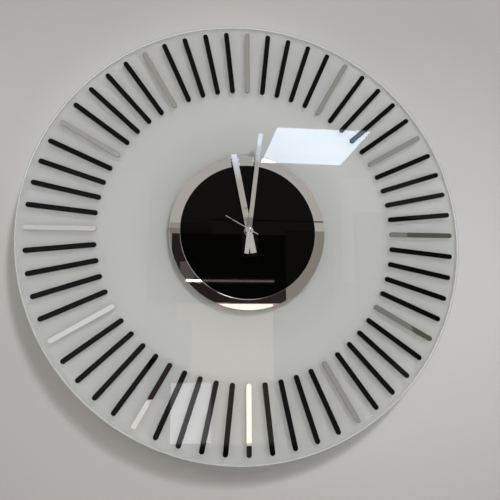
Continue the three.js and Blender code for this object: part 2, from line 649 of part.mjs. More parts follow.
// Hexagon nut with its corners chamfered at both faces.
function hexNut() {
  const corner = NUT_ACROSS_FLATS / Math.sqrt(3);
  const hexagon = rod(corner, NUT_FRONT, WASHER_FRONT, 6);
  const chamfered = turned([
    [0, NUT_FRONT],
    [corner - NUT_CHAMFER, NUT_FRONT],
    [corner + NUT_CHAMFER, NUT_FRONT + 2 * NUT_CHAMFER],
    [corner + NUT_CHAMFER, WASHER_FRONT - 2 * NUT_CHAMFER],
    [corner - NUT_CHAMFER, WASHER_FRONT],
    [0, WASHER_FRONT],
  ]);
  const bore = rod(BUSH_RADIUS + FIT_CLEARANCE, NUT_FRONT - CUT_OVERRUN, WASHER_FRONT + CUT_OVERRUN);
  return without(solidOf(hexagon).intersect(solidOf(chamfered)), solidOf(bore));
}

// Case, cover and plate

// Tray with a chamber for the train, an open bay for the battery, pillars and bearing posts.
function movementCase() {
  const width = [-CHAMBER_HALF_WIDTH, CHAMBER_HALF_WIDTH];
  const depth = [CASE_FLOOR, CASE_REAR + CUT_OVERRUN];
  const outline = roundedRectangle(-CASE_HALF_WIDTH, CASE_HALF_WIDTH, CASE_BOTTOM, CASE_TOP, CASE_CORNER);
  const slotDepth = [CONTACT_FRONT - CONTACT_LANE, CASE_REAR + CUT_OVERRUN];
  const slotInner = CONTACT_X - CONTACT_LANE - CONTACT_THICKNESS;
  const slotHeight = [BAY_TOP - CUT_OVERRUN, CHAMBER_BOTTOM + CUT_OVERRUN];
  const notch = [-FINGER_NOTCH_WIDTH / 2, FINGER_NOTCH_WIDTH / 2];
  const tray = without(
    solidOf(sheet(outline, CASE_FRONT, CASE_REAR, FINE_FACETS)),
    solidOf(block(width, depth, [CHAMBER_BOTTOM, CHAMBER_TOP])),
    solidOf(block(width, depth, [BAY_BOTTOM, BAY_TOP])),
    solidOf(block([slotInner, CHAMBER_HALF_WIDTH], slotDepth, slotHeight)),
    solidOf(block([-CHAMBER_HALF_WIDTH, -slotInner], slotDepth, slotHeight)),
    solidOf(block(notch, [CASE_REAR - FINGER_NOTCH_DEPTH, CASE_REAR + CUT_OVERRUN],
      [CASE_BOTTOM - CUT_OVERRUN, BAY_BOTTOM + CUT_OVERRUN])),
    solidOf(rod(BUSH_SPIGOT_RADIUS + FIT_CLEARANCE, CASE_FRONT - CUT_OVERRUN, CASE_FLOOR + CUT_OVERRUN)),
  );
  const root = CASE_FLOOR - CASE_WALL / 2;
  const pillars = PILLAR_PLACES.flatMap((place) => [
    solidOf(rodAt(place, PILLAR_RADIUS, root, PLATE_FRONT, FINE_FACETS)),
    solidOf(rodAt(place, PILLAR_PIN_RADIUS, root, COVER_INSIDE, FINE_FACETS)),
  ]);
  const minutePost = solidOf(rodAt(MINUTE_PLACE, MINUTE_POST_RADIUS, root, MINUTE_WHEEL_BACK, FINE_FACETS));
  const stemBoss = solidOf(stemBearing(root).translate(SETTING_PLACE.x, 0, SETTING_PLACE.y));
  return joined(tray, ...pillars, minutePost, stemBoss);
}

// Cup in the case floor that carries the front pivot of the setting stem.
function stemBearing(root) {
  const bore = STEM_PIVOT_RADIUS + PIVOT_CLEARANCE;
  const mouth = MINUTE_WHEEL_FRONT - WHEEL_GAP;
  return turned(
    [
      [0, root],
      [bore + STEM_BOSS_WALL, root],
      [bore + STEM_BOSS_WALL, mouth],
      [bore, mouth],
      [bore, CASE_FLOOR],
      [0, CASE_FLOOR],
    ],
    FINE_FACETS,
  );
}

// Lid over the train, with a pivot boss for each arbor, a hole for the stem and a raised frame.
function movementCover() {
  const half = CHAMBER_HALF_WIDTH - COVER_CLEARANCE;
  const low = CHAMBER_BOTTOM + COVER_CLEARANCE;
  const high = CHAMBER_TOP - COVER_CLEARANCE;
  const lid = block([-half, half], [COVER_INSIDE, CASE_REAR], [low, high]);
  const middle = COVER_INSIDE + COVER_THICKNESS / 2;
  const ribBack = CASE_REAR + COVER_RIB_HEIGHT;
  const inset = (by, depth) => solidOf(block([-half + by, half - by], depth, [low + by, high - by]));
  const frame = without(
    inset(COVER_RIB_WIDTH, [middle, ribBack]),
    inset(2 * COVER_RIB_WIDTH, [COVER_INSIDE, ribBack + CUT_OVERRUN]),
  );
  const arbors = [CENTRE, THIRD_PLACE, INTERMEDIATE_PLACE, ROTOR_PLACE];
  const bore = PIVOT_RADIUS + PIVOT_CLEARANCE;
  const bosses = arbors.map((place) =>
    solidOf(rodAt(place, PIVOT_BOSS_RADIUS, BOSS_FRONT, middle, FINE_FACETS)));
  const bores = arbors.map((place) =>
    solidOf(rodAt(place, bore, BOSS_FRONT - CUT_OVERRUN, COVER_INSIDE, FINE_FACETS)));
  const stemHole = rodAt(SETTING_PLACE, STEM_RADIUS + SHAFT_CLEARANCE,
    COVER_INSIDE - CUT_OVERRUN, CASE_REAR + CUT_OVERRUN, FINE_FACETS);
  return without(joined(solidOf(lid), frame, ...bosses), ...bores, solidOf(stemHole));
}

// Plate between the motion work and the train, with posts for the stator and the board.
function trainPlate() {
  const half = CHAMBER_HALF_WIDTH - TRAIN_PLATE_CLEARANCE;
  const low = CHAMBER_BOTTOM + TRAIN_PLATE_CLEARANCE;
  const high = CHAMBER_TOP - TRAIN_PLATE_CLEARANCE;
  const outline = roundedRectangle(-half, half, low, high, TRAIN_PLATE_CORNER);
  const hole = (place, radius) =>
    outline.holes.push(new THREE.Path().absarc(place.x, place.y, radius, 0, 2 * Math.PI, true));
  hole(CENTRE, CANNON_RADIUS + SHAFT_CLEARANCE);
  hole(THIRD_PLACE, PIVOT_RADIUS + PIVOT_CLEARANCE);
  hole(INTERMEDIATE_PLACE, PIVOT_RADIUS + PIVOT_CLEARANCE);
  hole(ROTOR_PLACE, PIVOT_RADIUS + PIVOT_CLEARANCE);
  hole(SETTING_PLACE, STEM_RADIUS + SHAFT_CLEARANCE);
  PILLAR_PLACES.forEach((place) => hole(place, PILLAR_PIN_RADIUS + FIT_CLEARANCE));
  const middle = (PLATE_FRONT + PLATE_BACK) / 2;
  const boardPosts = BOARD_POSTS.map((place) =>
    solidOf(rodAt(place, BOARD_POST_RADIUS, middle, BOARD_FRONT, FINE_FACETS)));
  const statorPosts = [-1, 1].map((end) => {
    const place = new THREE.Vector2(COIL_X, COIL_CENTRE_Z + (end * COIL_LENGTH) / 2);
    return solidOf(rodAt(place, BOARD_POST_RADIUS, middle, STATOR_FRONT, FINE_FACETS));
  });
  return joined(solidOf(sheet(outline, PLATE_FRONT, PLATE_BACK, FINE_FACETS)), ...boardPosts, ...statorPosts);
}

// Gear train

// Wheel that drives the hour hand through its pipe.
function hourWheel() {
  const blank = gear(HOUR_WHEEL_TEETH, MINUTE_MODULE, HOUR_WHEEL_FRONT, HOUR_WHEEL_BACK);
  const pipe = solidOf(rod(HOUR_PIPE_RADIUS, HOUR_HAND_FRONT, HOUR_WHEEL_BACK));
  const bore = rod(HOUR_PIPE_BORE, HOUR_HAND_FRONT - CUT_OVERRUN, HOUR_WHEEL_BACK + CUT_OVERRUN);
  return without(joined(blank, pipe), solidOf(bore));
}

// Pipe that carries the minute hand, with the pinion that drives the minute wheel.
function cannonPinion() {
  const blank = gear(CANNON_PINION_TEETH, CANNON_MODULE,
    MINUTE_WHEEL_FRONT - PINION_OVERHANG, MINUTE_WHEEL_BACK + PINION_OVERHANG);
  const back = CENTRE_WHEEL_BACK + PINION_OVERHANG;
  const pipe = solidOf(rod(CANNON_RADIUS, MINUTE_NUT_FRONT, back));
  const bore = rod(CANNON_BORE, MINUTE_NUT_FRONT - CUT_OVERRUN, back + CUT_OVERRUN);
  return without(joined(blank, pipe), solidOf(bore));
}

// Reduction wheel and pinion of the motion work, on a post of the case.
function minuteWheel() {
  const wheel = gear(MINUTE_WHEEL_TEETH, CANNON_MODULE, MINUTE_WHEEL_FRONT, MINUTE_WHEEL_BACK);
  const pinion = gear(MINUTE_PINION_TEETH, MINUTE_MODULE,
    HOUR_WHEEL_FRONT - PINION_OVERHANG, MINUTE_WHEEL_FRONT + MOTION_WHEEL_THICKNESS / 2);
  const bore = rod(MINUTE_POST_RADIUS + PIVOT_CLEARANCE,
    CASE_FLOOR, MINUTE_WHEEL_BACK + CUT_OVERRUN, FINE_FACETS);
  return without(joined(wheel, pinion), solidOf(bore));
}

// Wheel on the cannon's friction seat, driven by the third pinion.
function centreWheel() {
  const bore = CANNON_RADIUS + FIT_CLEARANCE;
  const wheel = gear(CENTRE_WHEEL_TEETH, THIRD_MODULE, CENTRE_WHEEL_FRONT, CENTRE_WHEEL_BACK);
  const hub = solidOf(rod(bore + CENTRE_HUB_WALL,
    CENTRE_WHEEL_FRONT - PINION_OVERHANG, CENTRE_WHEEL_BACK + PINION_OVERHANG));
  const hole = rod(bore, PLATE_BACK, THIRD_WHEEL_FRONT);
  return without(joined(wheel, hub), solidOf(hole));
}

// Arbor with a pivot at each end.
function arbor(front, back, radius, shoulderFront, shoulderBack) {
  return solidOf(
    turned(
      [
        [0, front],
        [PIVOT_RADIUS, front],
        [PIVOT_RADIUS, shoulderFront],
        [radius, shoulderFront],
        [radius, shoulderBack],
        [PIVOT_RADIUS, shoulderBack],
        [PIVOT_RADIUS, back],
        [0, back],
      ],
      FINE_FACETS,
    ),
  );
}

// Third wheel and its pinion, between the seconds pinion and the centre wheel.
function thirdWheel() {
  return joined(
    arbor(PIVOT_FRONT, PIVOT_BACK, ARBOR_RADIUS, PLATE_BACK + END_PLAY, BOSS_FRONT - END_PLAY),
    gear(THIRD_PINION_TEETH, THIRD_MODULE,
      CENTRE_WHEEL_FRONT - PINION_OVERHANG, CENTRE_WHEEL_BACK + PINION_OVERHANG),
    gear(THIRD_WHEEL_TEETH, SECONDS_MODULE, THIRD_WHEEL_FRONT, THIRD_WHEEL_BACK),
  );
}

// Seconds wheel, whose long arbor runs through the cannon to the seconds hand.
function secondsWheel() {
  const collar = CENTRE_WHEEL_BACK + PINION_OVERHANG + END_PLAY;
  return joined(
    solidOf(rod(SECONDS_ARBOR_RADIUS, SECONDS_HAND_FRONT + 2 * END_PLAY, SECONDS_WHEEL_BACK, FINE_FACETS)),
    arbor(collar, PIVOT_BACK, ARBOR_RADIUS, collar + END_PLAY, BOSS_FRONT - END_PLAY),
    gear(SECONDS_PINION_TEETH, SECONDS_MODULE,
      THIRD_WHEEL_FRONT - PINION_OVERHANG, THIRD_WHEEL_BACK + PINION_OVERHANG),
    gear(SECONDS_WHEEL_TEETH, INTERMEDIATE_MODULE, SECONDS_WHEEL_FRONT, SECONDS_WHEEL_BACK),
  );
}

// Intermediate wheel and its pinion, between the rotor and the seconds wheel.
function intermediateWheel() {
  return joined(
    arbor(PIVOT_FRONT, PIVOT_BACK, ARBOR_RADIUS, PLATE_BACK + END_PLAY, BOSS_FRONT - END_PLAY),
    gear(INTERMEDIATE_PINION_TEETH, INTERMEDIATE_MODULE,
      SECONDS_WHEEL_FRONT - PINION_OVERHANG, SECONDS_WHEEL_BACK + PINION_OVERHANG),
    gear(INTERMEDIATE_WHEEL_TEETH, ROTOR_MODULE, INTERMEDIATE_WHEEL_FRONT, INTERMEDIATE_WHEEL_BACK),
  );
}

// Rotor arbor with its pinion.
function rotor() {
  const root = rootRadius(ROTOR_PINION_TEETH, ROTOR_MODULE);
  return joined(
    arbor(PIVOT_FRONT, PIVOT_BACK, root, PLATE_BACK + END_PLAY, BOSS_FRONT - END_PLAY),
    gear(ROTOR_PINION_TEETH, ROTOR_MODULE,
      INTERMEDIATE_WHEEL_FRONT - PINION_OVERHANG, INTERMEDIATE_WHEEL_BACK + PINION_OVERHANG),
  );
}

// Knob, stem and setting pinion in one moulding.
function settingKnob() {
  const knobFront = CASE_REAR + COVER_RIB_HEIGHT + KNOB_STANDOFF;
  const points = [];
  for (let corner = 0; corner < 2 * KNOB_GROOVES; corner += 1) {
    const angle = (corner * Math.PI) / KNOB_GROOVES;
    const radius = KNOB_RADIUS - (corner % 2) * KNOB_GROOVE_DEPTH;
    points.push(new THREE.Vector2(radius * Math.cos(angle), radius * Math.sin(angle)));
  }
  const knob = solidOf(sheet(new THREE.Shape(points), knobFront, knobFront + KNOB_THICKNESS));
  const stem = solidOf(rod(STEM_RADIUS, MINUTE_WHEEL_FRONT, knobFront + KNOB_THICKNESS / 2, FINE_FACETS));
  const pivot = solidOf(rod(STEM_PIVOT_RADIUS, CASE_FLOOR + END_PLAY, MINUTE_WHEEL_BACK, FINE_FACETS));
  const pinion = gear(SETTING_PINION_TEETH, CANNON_MODULE,
    MINUTE_WHEEL_FRONT - PINION_OVERHANG, MINUTE_WHEEL_BACK + PINION_OVERHANG);
  return joined(stem, knob, pivot, pinion);
}

// Stepping motor

// Iron ring round the magnet, with an arm to each end of the coil and a lug turned up there.
function stator() {
  const opening = MAGNET_RADIUS + MAGNET_GAP;
  const lap = [STATOR_FRONT, STATOR_BACK];
  const rise = [STATOR_FRONT, COIL_Y + CORE_THICKNESS / 2];
  const across = [COIL_X - CORE_WIDTH / 2, COIL_X + CORE_WIDTH / 2];
  const ends = [-1, 1].flatMap((end) => {
    const inner = COIL_CENTRE_Z + end * CORE_HALF_LENGTH;
    const outer = inner + end * CORE_THICKNESS;
    const foot = new THREE.Vector2(COIL_X, inner - (end * CORE_WIDTH) / 2);
    const arm = stripOutline([ROTOR_PLACE, foot], CORE_WIDTH);
    const upright = (from, to) => [Math.min(from, to), Math.max(from, to)];
    return [
      sheet(arm, ...lap),
      block(across, lap, upright(foot.y - end * STATOR_LAND, outer)),
      block(across, rise, upright(inner, outer)),
    ].map(solidOf);
  });
  const plate = joined(solidOf(rodAt(ROTOR_PLACE, opening + STATOR_LAND, ...lap)), ...ends);
  const hole = rodAt(ROTOR_PLACE, opening, STATOR_FRONT - CUT_OVERRUN, STATOR_BACK + CUT_OVERRUN);
  return without(plate, solidOf(hole));
}

// Iron strip through the coil, from lug to lug.
function coilCore() {
  const half = CORE_HALF_LENGTH;
  return block(
    [COIL_X - CORE_WIDTH / 2, COIL_X + CORE_WIDTH / 2],
    [COIL_Y - CORE_THICKNESS / 2, COIL_Y + CORE_THICKNESS / 2],
    [COIL_CENTRE_Z - half, COIL_CENTRE_Z + half],
  );
}

// Rod or ring on the coil's own line, which runs up the dial.
function onCoilLine(geometry) {
  return geometry.rotateX(Math.PI / 2).translate(COIL_X, COIL_Y, COIL_CENTRE_Z);
}

// Bobbin with square cheeks and a slot for the core.
function coilBobbin() {
  const half = COIL_LENGTH / 2;
  const cheek = BOBBIN_FLANGE / 2;
  const tube = solidOf(onCoilLine(rod(BOBBIN_TUBE_RADIUS, -half, half)));
  const inner = half - BOBBIN_FLANGE_THICKNESS;
  const cheeks = [[-half, -inner], [inner, half]].map((span) =>
    solidOf(block([COIL_X - cheek, COIL_X + cheek], [COIL_Y - cheek, COIL_Y + cheek],
      span.map((z) => z + COIL_CENTRE_Z))));
  const slot = block(
    [COIL_X - CORE_WIDTH / 2 - FIT_CLEARANCE, COIL_X + CORE_WIDTH / 2 + FIT_CLEARANCE],
    [COIL_Y - CORE_THICKNESS / 2 - FIT_CLEARANCE, COIL_Y + CORE_THICKNESS / 2 + FIT_CLEARANCE],
    [COIL_CENTRE_Z - half - CUT_OVERRUN, COIL_CENTRE_Z + half + CUT_OVERRUN],
  );
  return without(joined(tube, ...cheeks), solidOf(slot));
}

// Copper wire wound between the cheeks.
function coilWinding() {
  const half = COIL_LENGTH / 2 - BOBBIN_FLANGE_THICKNESS;
  return onCoilLine(ring(BOBBIN_TUBE_RADIUS + FIT_CLEARANCE, COIL_RADIUS, -half, half));
}

// Electronics and battery

const boardOutline = () => [[BOARD_LEFT, BOARD_RIGHT], [BOARD_FRONT, BOARD_BACK], [BOARD_BOTTOM, BOARD_TOP]];

// Blob of resin over the chip.
function chipBlob() {
  return turned([
    [0, BOARD_BACK],
    [CHIP_RADIUS, BOARD_BACK],
    [CHIP_SHOULDER_RADIUS, BOARD_BACK + CHIP_SHOULDER_HEIGHT],
    [0, BOARD_BACK + CHIP_HEIGHT],
  ]);
}

// Tuning crystal in its can, lying on the board.
function crystalCan() {
  const half = CRYSTAL_LENGTH / 2;
  return rod(CRYSTAL_RADIUS, -half, half, FINE_FACETS)
    .rotateZ(Math.PI / 2)
    .translate((BOARD_LEFT + BOARD_RIGHT) / 2 + half, BOARD_BACK + CRYSTAL_RADIUS + END_PLAY,
      BOARD_BOTTOM + 2 * CRYSTAL_RADIUS);
}

// Contact spring: a bowed leaf in the bay, a lane up the side wall and a foot at the board.
function contactSpring(side, route) {
  const bowed = BATTERY_LENGTH / 2 + CONTACT_THICKNESS;
  const points = [
    new THREE.Vector2(CONTACT_X, BAY_BOTTOM + CONTACT_END_GAP),
    new THREE.Vector2(bowed, BATTERY_Z),
    new THREE.Vector2(CONTACT_X, BAY_TOP),
    ...route,
  ].map((point) => new THREE.Vector2(side * point.x, point.y));
  const outline = stripOutline(points, CONTACT_THICKNESS);
  return sheet(outline, CONTACT_FRONT, CONTACT_FRONT + CONTACT_WIDTH);
}

function positiveContact() {
  const foot = (BOARD_TOP + BOARD_BOTTOM) / 2;
  return contactSpring(1, [
    new THREE.Vector2(CONTACT_X, foot),
    new THREE.Vector2(BOARD_RIGHT + FIT_CLEARANCE, foot),
  ]);
}

function negativeContact() {
  const lane = CHAMBER_TOP - CONTACT_TOP_LANE;
  const turnDown = CONTACT_THICKNESS - BOARD_LEFT;
  return contactSpring(-1, [
    new THREE.Vector2(CONTACT_X, lane),
    new THREE.Vector2(turnDown, lane),
    new THREE.Vector2(turnDown, BOARD_TOP - BOARD_POST_RADIUS),
  ]);
}

// Cell lying along X with its button to the right.
function batteryCell() {
  const half = BATTERY_LENGTH / 2;
  const shoulder = half - BATTERY_NUB_LENGTH;
  return turned([
    [0, -half],
    [BATTERY_RADIUS - BATTERY_RIM, -half],
    [BATTERY_RADIUS, -half + BATTERY_RIM],
    [BATTERY_RADIUS, shoulder - BATTERY_RIM],
    [BATTERY_RADIUS - BATTERY_RIM, shoulder],
    [BATTERY_NUB_RADIUS, shoulder],
    [BATTERY_NUB_RADIUS, half],
    [0, half],
  ])
    .rotateZ(-Math.PI / 2)
    .translate(0, BATTERY_Y, BATTERY_Z);
}

// Hanging bracket and spacers

// Round hole for the screw's head, with a slot above it for the neck.
function keyhole() {
  const rise = Math.sqrt(KEYHOLE_HEAD_RADIUS ** 2 - KEYHOLE_SLOT_RADIUS ** 2);
  const corner = Math.atan2(rise, KEYHOLE_SLOT_RADIUS);
  const outline = new THREE.Shape();
  outline.absarc(0, 0, KEYHOLE_SLOT_RADIUS, 0, Math.PI, false);
  outline.absarc(0, -KEYHOLE_DROP, KEYHOLE_HEAD_RADIUS, Math.PI - corner, 2 * Math.PI + corner, false);
  return sheet(outline, -BRACKET_THICKNESS - CUT_OVERRUN, CUT_OVERRUN, FINE_FACETS);
}

// Sheet bent to a top hat: web on the wall, legs, and flanges bonded behind the dial.
function hangingBracket() {
  const half = BRACKET_THICKNESS / 2;
  const flange = BRACKET_FLANGE_FRONT + half;
  const side = [
    new THREE.Vector2(BRACKET_WEB_WIDTH / 2, -half),
    new THREE.Vector2(BRACKET_FOOT, flange),
    new THREE.Vector2(BRACKET_FOOT + BRACKET_FLANGE_WIDTH, flange),
  ];
  const mirrored = side.map((point) => new THREE.Vector2(-point.x, point.y)).reverse();
  const settings = { depth: BRACKET_HEIGHT, bevelEnabled: false };
  const hat = new THREE.ExtrudeGeometry(stripOutline([...mirrored, ...side], BRACKET_THICKNESS), settings);
  hat.translate(0, 0, BRACKET_ABOVE_SEAT - BRACKET_HEIGHT);
  return without(solidOf(hat), solidOf(keyhole()));
}

// Glue pad between a flange and the lacquer.
function gluePad(side) {
  const inner = BRACKET_FOOT + PAD_MARGIN;
  const outer = BRACKET_FOOT + BRACKET_FLANGE_WIDTH - PAD_MARGIN;
  const span = side > 0 ? [inner, outer] : [-outer, -inner];
  return block(span, [LACQUER_BACK, BRACKET_FLANGE_FRONT],
    [BRACKET_ABOVE_SEAT - BRACKET_HEIGHT + PAD_MARGIN, BRACKET_ABOVE_SEAT - PAD_MARGIN]);
}

// Waisted plastic post, bonded by its base to the back of the dial.
function spacerPost() {
  return turned([
    [0, LACQUER_BACK],
    [SPACER_BASE_RADIUS, LACQUER_BACK],
    [SPACER_BASE_RADIUS, LACQUER_BACK + SPACER_BASE_THICKNESS],
    [SPACER_NECK_RADIUS, LACQUER_BACK + SPACER_BASE_THICKNESS + SPACER_TAPER],
    [SPACER_NECK_RADIUS, -FELT_THICKNESS - SPACER_BASE_THICKNESS - SPACER_TAPER],
    [SPACER_HEAD_RADIUS, -FELT_THICKNESS - SPACER_BASE_THICKNESS],
    [SPACER_HEAD_RADIUS, -FELT_THICKNESS],
    [0, -FELT_THICKNESS],
  ]);
}

// Assembly

// Dial with its markers and centre discs.
function dialGroup() {
  const group = new THREE.Group();
  group.add(
    piece("dial_glass", dialGlass(), glassAndMarkers),
    piece("white_backing", whiteBacking(), lacquer),
    piece("mirror_disc", faceDisc(MIRROR_DISC_RADIUS, MIRROR_FRONT, GLASS_FRONT), mirror),
    piece("black_disc", faceDisc(BLACK_DISC_RADIUS, BLACK_FRONT, MIRROR_FRONT), blackAcrylic),
  );
  for (let hour = 1; hour <= MARKERS / MARKERS_PER_HOUR; hour += 1) {
    const bar = markerBar(GLASS_FRONT - MARKER_THICKNESS, GLASS_FRONT);
    const name = "hour_marker_" + String(hour).padStart(2, "0");
    group.add(piece(name, bar, mirror, CENTRE, clockwise((360 * hour * MARKERS_PER_HOUR) / MARKERS)));
  }
  return group;
}

// Hands, each turned to its reading.
function handGroup() {
  const group = new THREE.Group();
  const collar = ring(HOUR_PIPE_RADIUS + FIT_CLEARANCE, HOUR_PIPE_RADIUS + HOUR_COLLAR_WALL,
    HOUR_HAND_BACK, HOUR_HAND_BACK + HOUR_COLLAR_THICKNESS);
  const nut = ring(CANNON_RADIUS + FIT_CLEARANCE, CANNON_RADIUS + MINUTE_NUT_WALL,
    MINUTE_NUT_FRONT, MINUTE_HAND_FRONT);
  group.add(
    piece("hour_hand", hourHand(), handAluminium, CENTRE, clockwise(HOUR_HAND_ANGLE)),
    piece("hour_hand_collar", collar, brass),
    piece("minute_hand", minuteHand(), handAluminium, CENTRE, clockwise(MINUTE_HAND_ANGLE)),
    piece("minute_hand_nut", nut, nickel),
    piece("seconds_hand", secondsHand(), handAluminium, CENTRE, clockwise(SECONDS_HAND_ANGLE)),
    piece("seconds_hand_cap", secondsCap(), nickel),
  );
  return group;
}

// What clamps the movement to the dial.
function fixingGroup() {
  const washer = ring(DISC_HOLE_RADIUS, WASHER_RADIUS, WASHER_FRONT, BLACK_FRONT);
  const gasketBore = BUSH_FLANGE_RADIUS + GASKET_CLEARANCE;
  const gasket = ring(gasketBore, GASKET_RADIUS, LACQUER_BACK, CASE_FRONT);
  const group = new THREE.Group();
  group.add(
    piece("threaded_bush", threadedBush(), brass),
    piece("fixing_nut", hexNut(), nickel),
    piece("fixing_washer", washer, nickel),
    piece("rubber_gasket", gasket, blackRubber),
  );
  return group;
}

// Wheels, each meshed with the one that drives it.
function trainGroup() {
  const intermediateTurn = meshedTurn(
    CENTRE, SECONDS_WHEEL_TEETH, 0, INTERMEDIATE_PLACE, INTERMEDIATE_PINION_TEETH);
  const rotorTurn = meshedTurn(
    INTERMEDIATE_PLACE, INTERMEDIATE_WHEEL_TEETH, intermediateTurn, ROTOR_PLACE, ROTOR_PINION_TEETH);
  const thirdTurn = meshedTurn(CENTRE, SECONDS_PINION_TEETH, 0, THIRD_PLACE, THIRD_WHEEL_TEETH);
  const centreTurn = meshedTurn(THIRD_PLACE, THIRD_PINION_TEETH, thirdTurn, CENTRE, CENTRE_WHEEL_TEETH);
  const minuteTurn = meshedTurn(CENTRE, CANNON_PINION_TEETH, 0, MINUTE_PLACE, MINUTE_WHEEL_TEETH);
  const hourTurn = meshedTurn(MINUTE_PLACE, MINUTE_PINION_TEETH, minuteTurn, CENTRE, HOUR_WHEEL_TEETH);
  const settingTurn = meshedTurn(
    MINUTE_PLACE, MINUTE_WHEEL_TEETH, minuteTurn, SETTING_PLACE, SETTING_PINION_TEETH);
  const magnetMiddle = (STATOR_FRONT + STATOR_BACK) / 2;
  const magnet = ring(rootRadius(ROTOR_PINION_TEETH, ROTOR_MODULE) + FIT_CLEARANCE / 2, MAGNET_RADIUS,
    magnetMiddle - MAGNET_THICKNESS / 2, magnetMiddle + MAGNET_THICKNESS / 2);
  const group = new THREE.Group();
  group.add(
    piece("hour_wheel", hourWheel(), whitePlastic, CENTRE, hourTurn),
    piece("cannon_pinion", cannonPinion(), brass),
    piece("minute_wheel", minuteWheel(), whitePlastic, MINUTE_PLACE, minuteTurn),
    piece("setting_knob", settingKnob(), whitePlastic, SETTING_PLACE, settingTurn),
    piece("centre_wheel", centreWheel(), whitePlastic, CENTRE, centreTurn),
    piece("third_wheel", thirdWheel(), whitePlastic, THIRD_PLACE, thirdTurn),
    piece("seconds_wheel", secondsWheel(), whitePlastic),
    piece("intermediate_wheel", intermediateWheel(), whitePlastic, INTERMEDIATE_PLACE, intermediateTurn),
    piece("rotor", rotor(), whitePlastic, ROTOR_PLACE, rotorTurn),
    piece("rotor_magnet", magnet, magnetGrey, ROTOR_PLACE),
  );
  return group;
}

// Case, plate, motor, electronics and battery.
function movementGroup() {
  const chipPlace = new THREE.Vector2(BOARD_LEFT + 2 * CHIP_RADIUS, (BOARD_TOP + BOARD_BOTTOM) / 2);
  const group = new THREE.Group();
  group.add(
    piece("movement_case", movementCase(), blackPlastic),
    piece("movement_cover", movementCover(), blackPlastic),
    piece("train_plate", trainPlate(), whitePlastic),
    piece("stator", stator(), zincSteel),
    piece("coil_core", coilCore(), zincSteel),
    piece("coil_bobbin", coilBobbin(), whitePlastic),
    piece("coil_winding", coilWinding(), copper),
    piece("circuit_board", block(...boardOutline()), boardGreen),
    piece("clock_chip", chipBlob(), blackPlastic, chipPlace),
    piece("quartz_crystal", crystalCan(), nickel),
    piece("positive_contact", positiveContact(), nickel),
    piece("negative_contact", negativeContact(), nickel),
    piece("battery", batteryCell(), batterySleeve),
  );
  return group;
}

// Bracket and its pads, about the screw's seat.
function hangerGroup() {
  const group = new THREE.Group();
  group.add(
    piece("hanging_bracket", hangingBracket(), zincSteel),
    piece("glue_pad_left", gluePad(-1), foamTape),
    piece("glue_pad_right", gluePad(1), foamTape),
  );
  return group;
}

// Spacers with a felt on each.
function spacerGroup() {
  const group = new THREE.Group();
  [["left", -1], ["right", 1]].forEach(([side, sign]) => {
    const place = new THREE.Vector2((sign * SPACER_APART) / 2, -SPACER_DROP);
    const pad = rod(SPACER_HEAD_RADIUS - FELT_MARGIN, -FELT_THICKNESS, 0);
    group.add(piece("spacer_" + side, spacerPost(), blackPlastic, place));
    group.add(piece("felt_" + side, pad, felt, place));
  });
  return group;
}

const onDial = new THREE.Group();
onDial.position.z = -HANGER_RISE;
onDial.add(dialGroup(), handGroup(), fixingGroup(), trainGroup(), movementGroup(), spacerGroup());

const clock = new THREE.Group();
clock.name = "glass_clock";
clock.add(onDial, hangerGroup());

export default clock;
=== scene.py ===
# Round glass wall clock with sixty bar markers and a quartz movement, dressed over its frame.
# Metres. +Z is up, +Y goes into the wall, and the dial faces -Y.
import json
import math

import bmesh
import bpy
from mathutils import Matrix, Vector

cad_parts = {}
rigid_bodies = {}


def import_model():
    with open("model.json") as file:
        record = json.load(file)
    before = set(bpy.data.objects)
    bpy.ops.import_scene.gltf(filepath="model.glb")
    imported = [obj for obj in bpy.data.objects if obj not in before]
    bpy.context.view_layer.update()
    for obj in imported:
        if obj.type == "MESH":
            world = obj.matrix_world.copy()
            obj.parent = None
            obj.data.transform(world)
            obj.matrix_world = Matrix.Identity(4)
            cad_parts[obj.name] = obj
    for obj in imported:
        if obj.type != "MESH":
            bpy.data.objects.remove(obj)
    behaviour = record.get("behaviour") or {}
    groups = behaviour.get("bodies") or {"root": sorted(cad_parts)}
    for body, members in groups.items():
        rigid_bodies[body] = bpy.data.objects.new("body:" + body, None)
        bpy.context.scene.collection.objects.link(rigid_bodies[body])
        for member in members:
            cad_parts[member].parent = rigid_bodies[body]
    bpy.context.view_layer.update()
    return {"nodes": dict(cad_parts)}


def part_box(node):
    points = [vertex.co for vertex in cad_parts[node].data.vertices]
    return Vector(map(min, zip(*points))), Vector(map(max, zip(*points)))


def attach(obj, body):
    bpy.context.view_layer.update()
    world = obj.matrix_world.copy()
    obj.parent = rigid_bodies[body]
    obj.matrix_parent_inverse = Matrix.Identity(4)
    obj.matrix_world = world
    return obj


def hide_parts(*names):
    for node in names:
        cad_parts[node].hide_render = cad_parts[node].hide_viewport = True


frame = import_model()
nodes = frame["nodes"]


# Glass pane of the dial. 4 mm float glass, cut round, with a narrow polished bevel, an eased rim
# and a hole drilled for the bush. It is clear, so its lacquer shows through it and the wall shows
# past that. The nut on the bush clamps it to the movement.
MM = 0.001
TOUCHING = 1e-7
WHITE = (1, 1, 1, 1)
low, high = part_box("dial_glass")
shaft = Vector((0, 0, (low.z + high.z) / 2))
pane_radius = high.x / MM
glass_back = high.y / MM
glass_front = glass_back - 4
hole_radius = 5
rim_rounding = 0.6
bevel_width = 3.2
bevel_depth = 0.3
into_lacquer = 0.02
CLEAR = (0.985, 0.99, 0.985, 1)


def colour(red, green, blue):
    """Colour for a shader from one given in 0 to 255."""
    return (*(((tone / 255 + 0.055) / 1.055) ** 2.4 for tone in (red, green, blue)), 1)


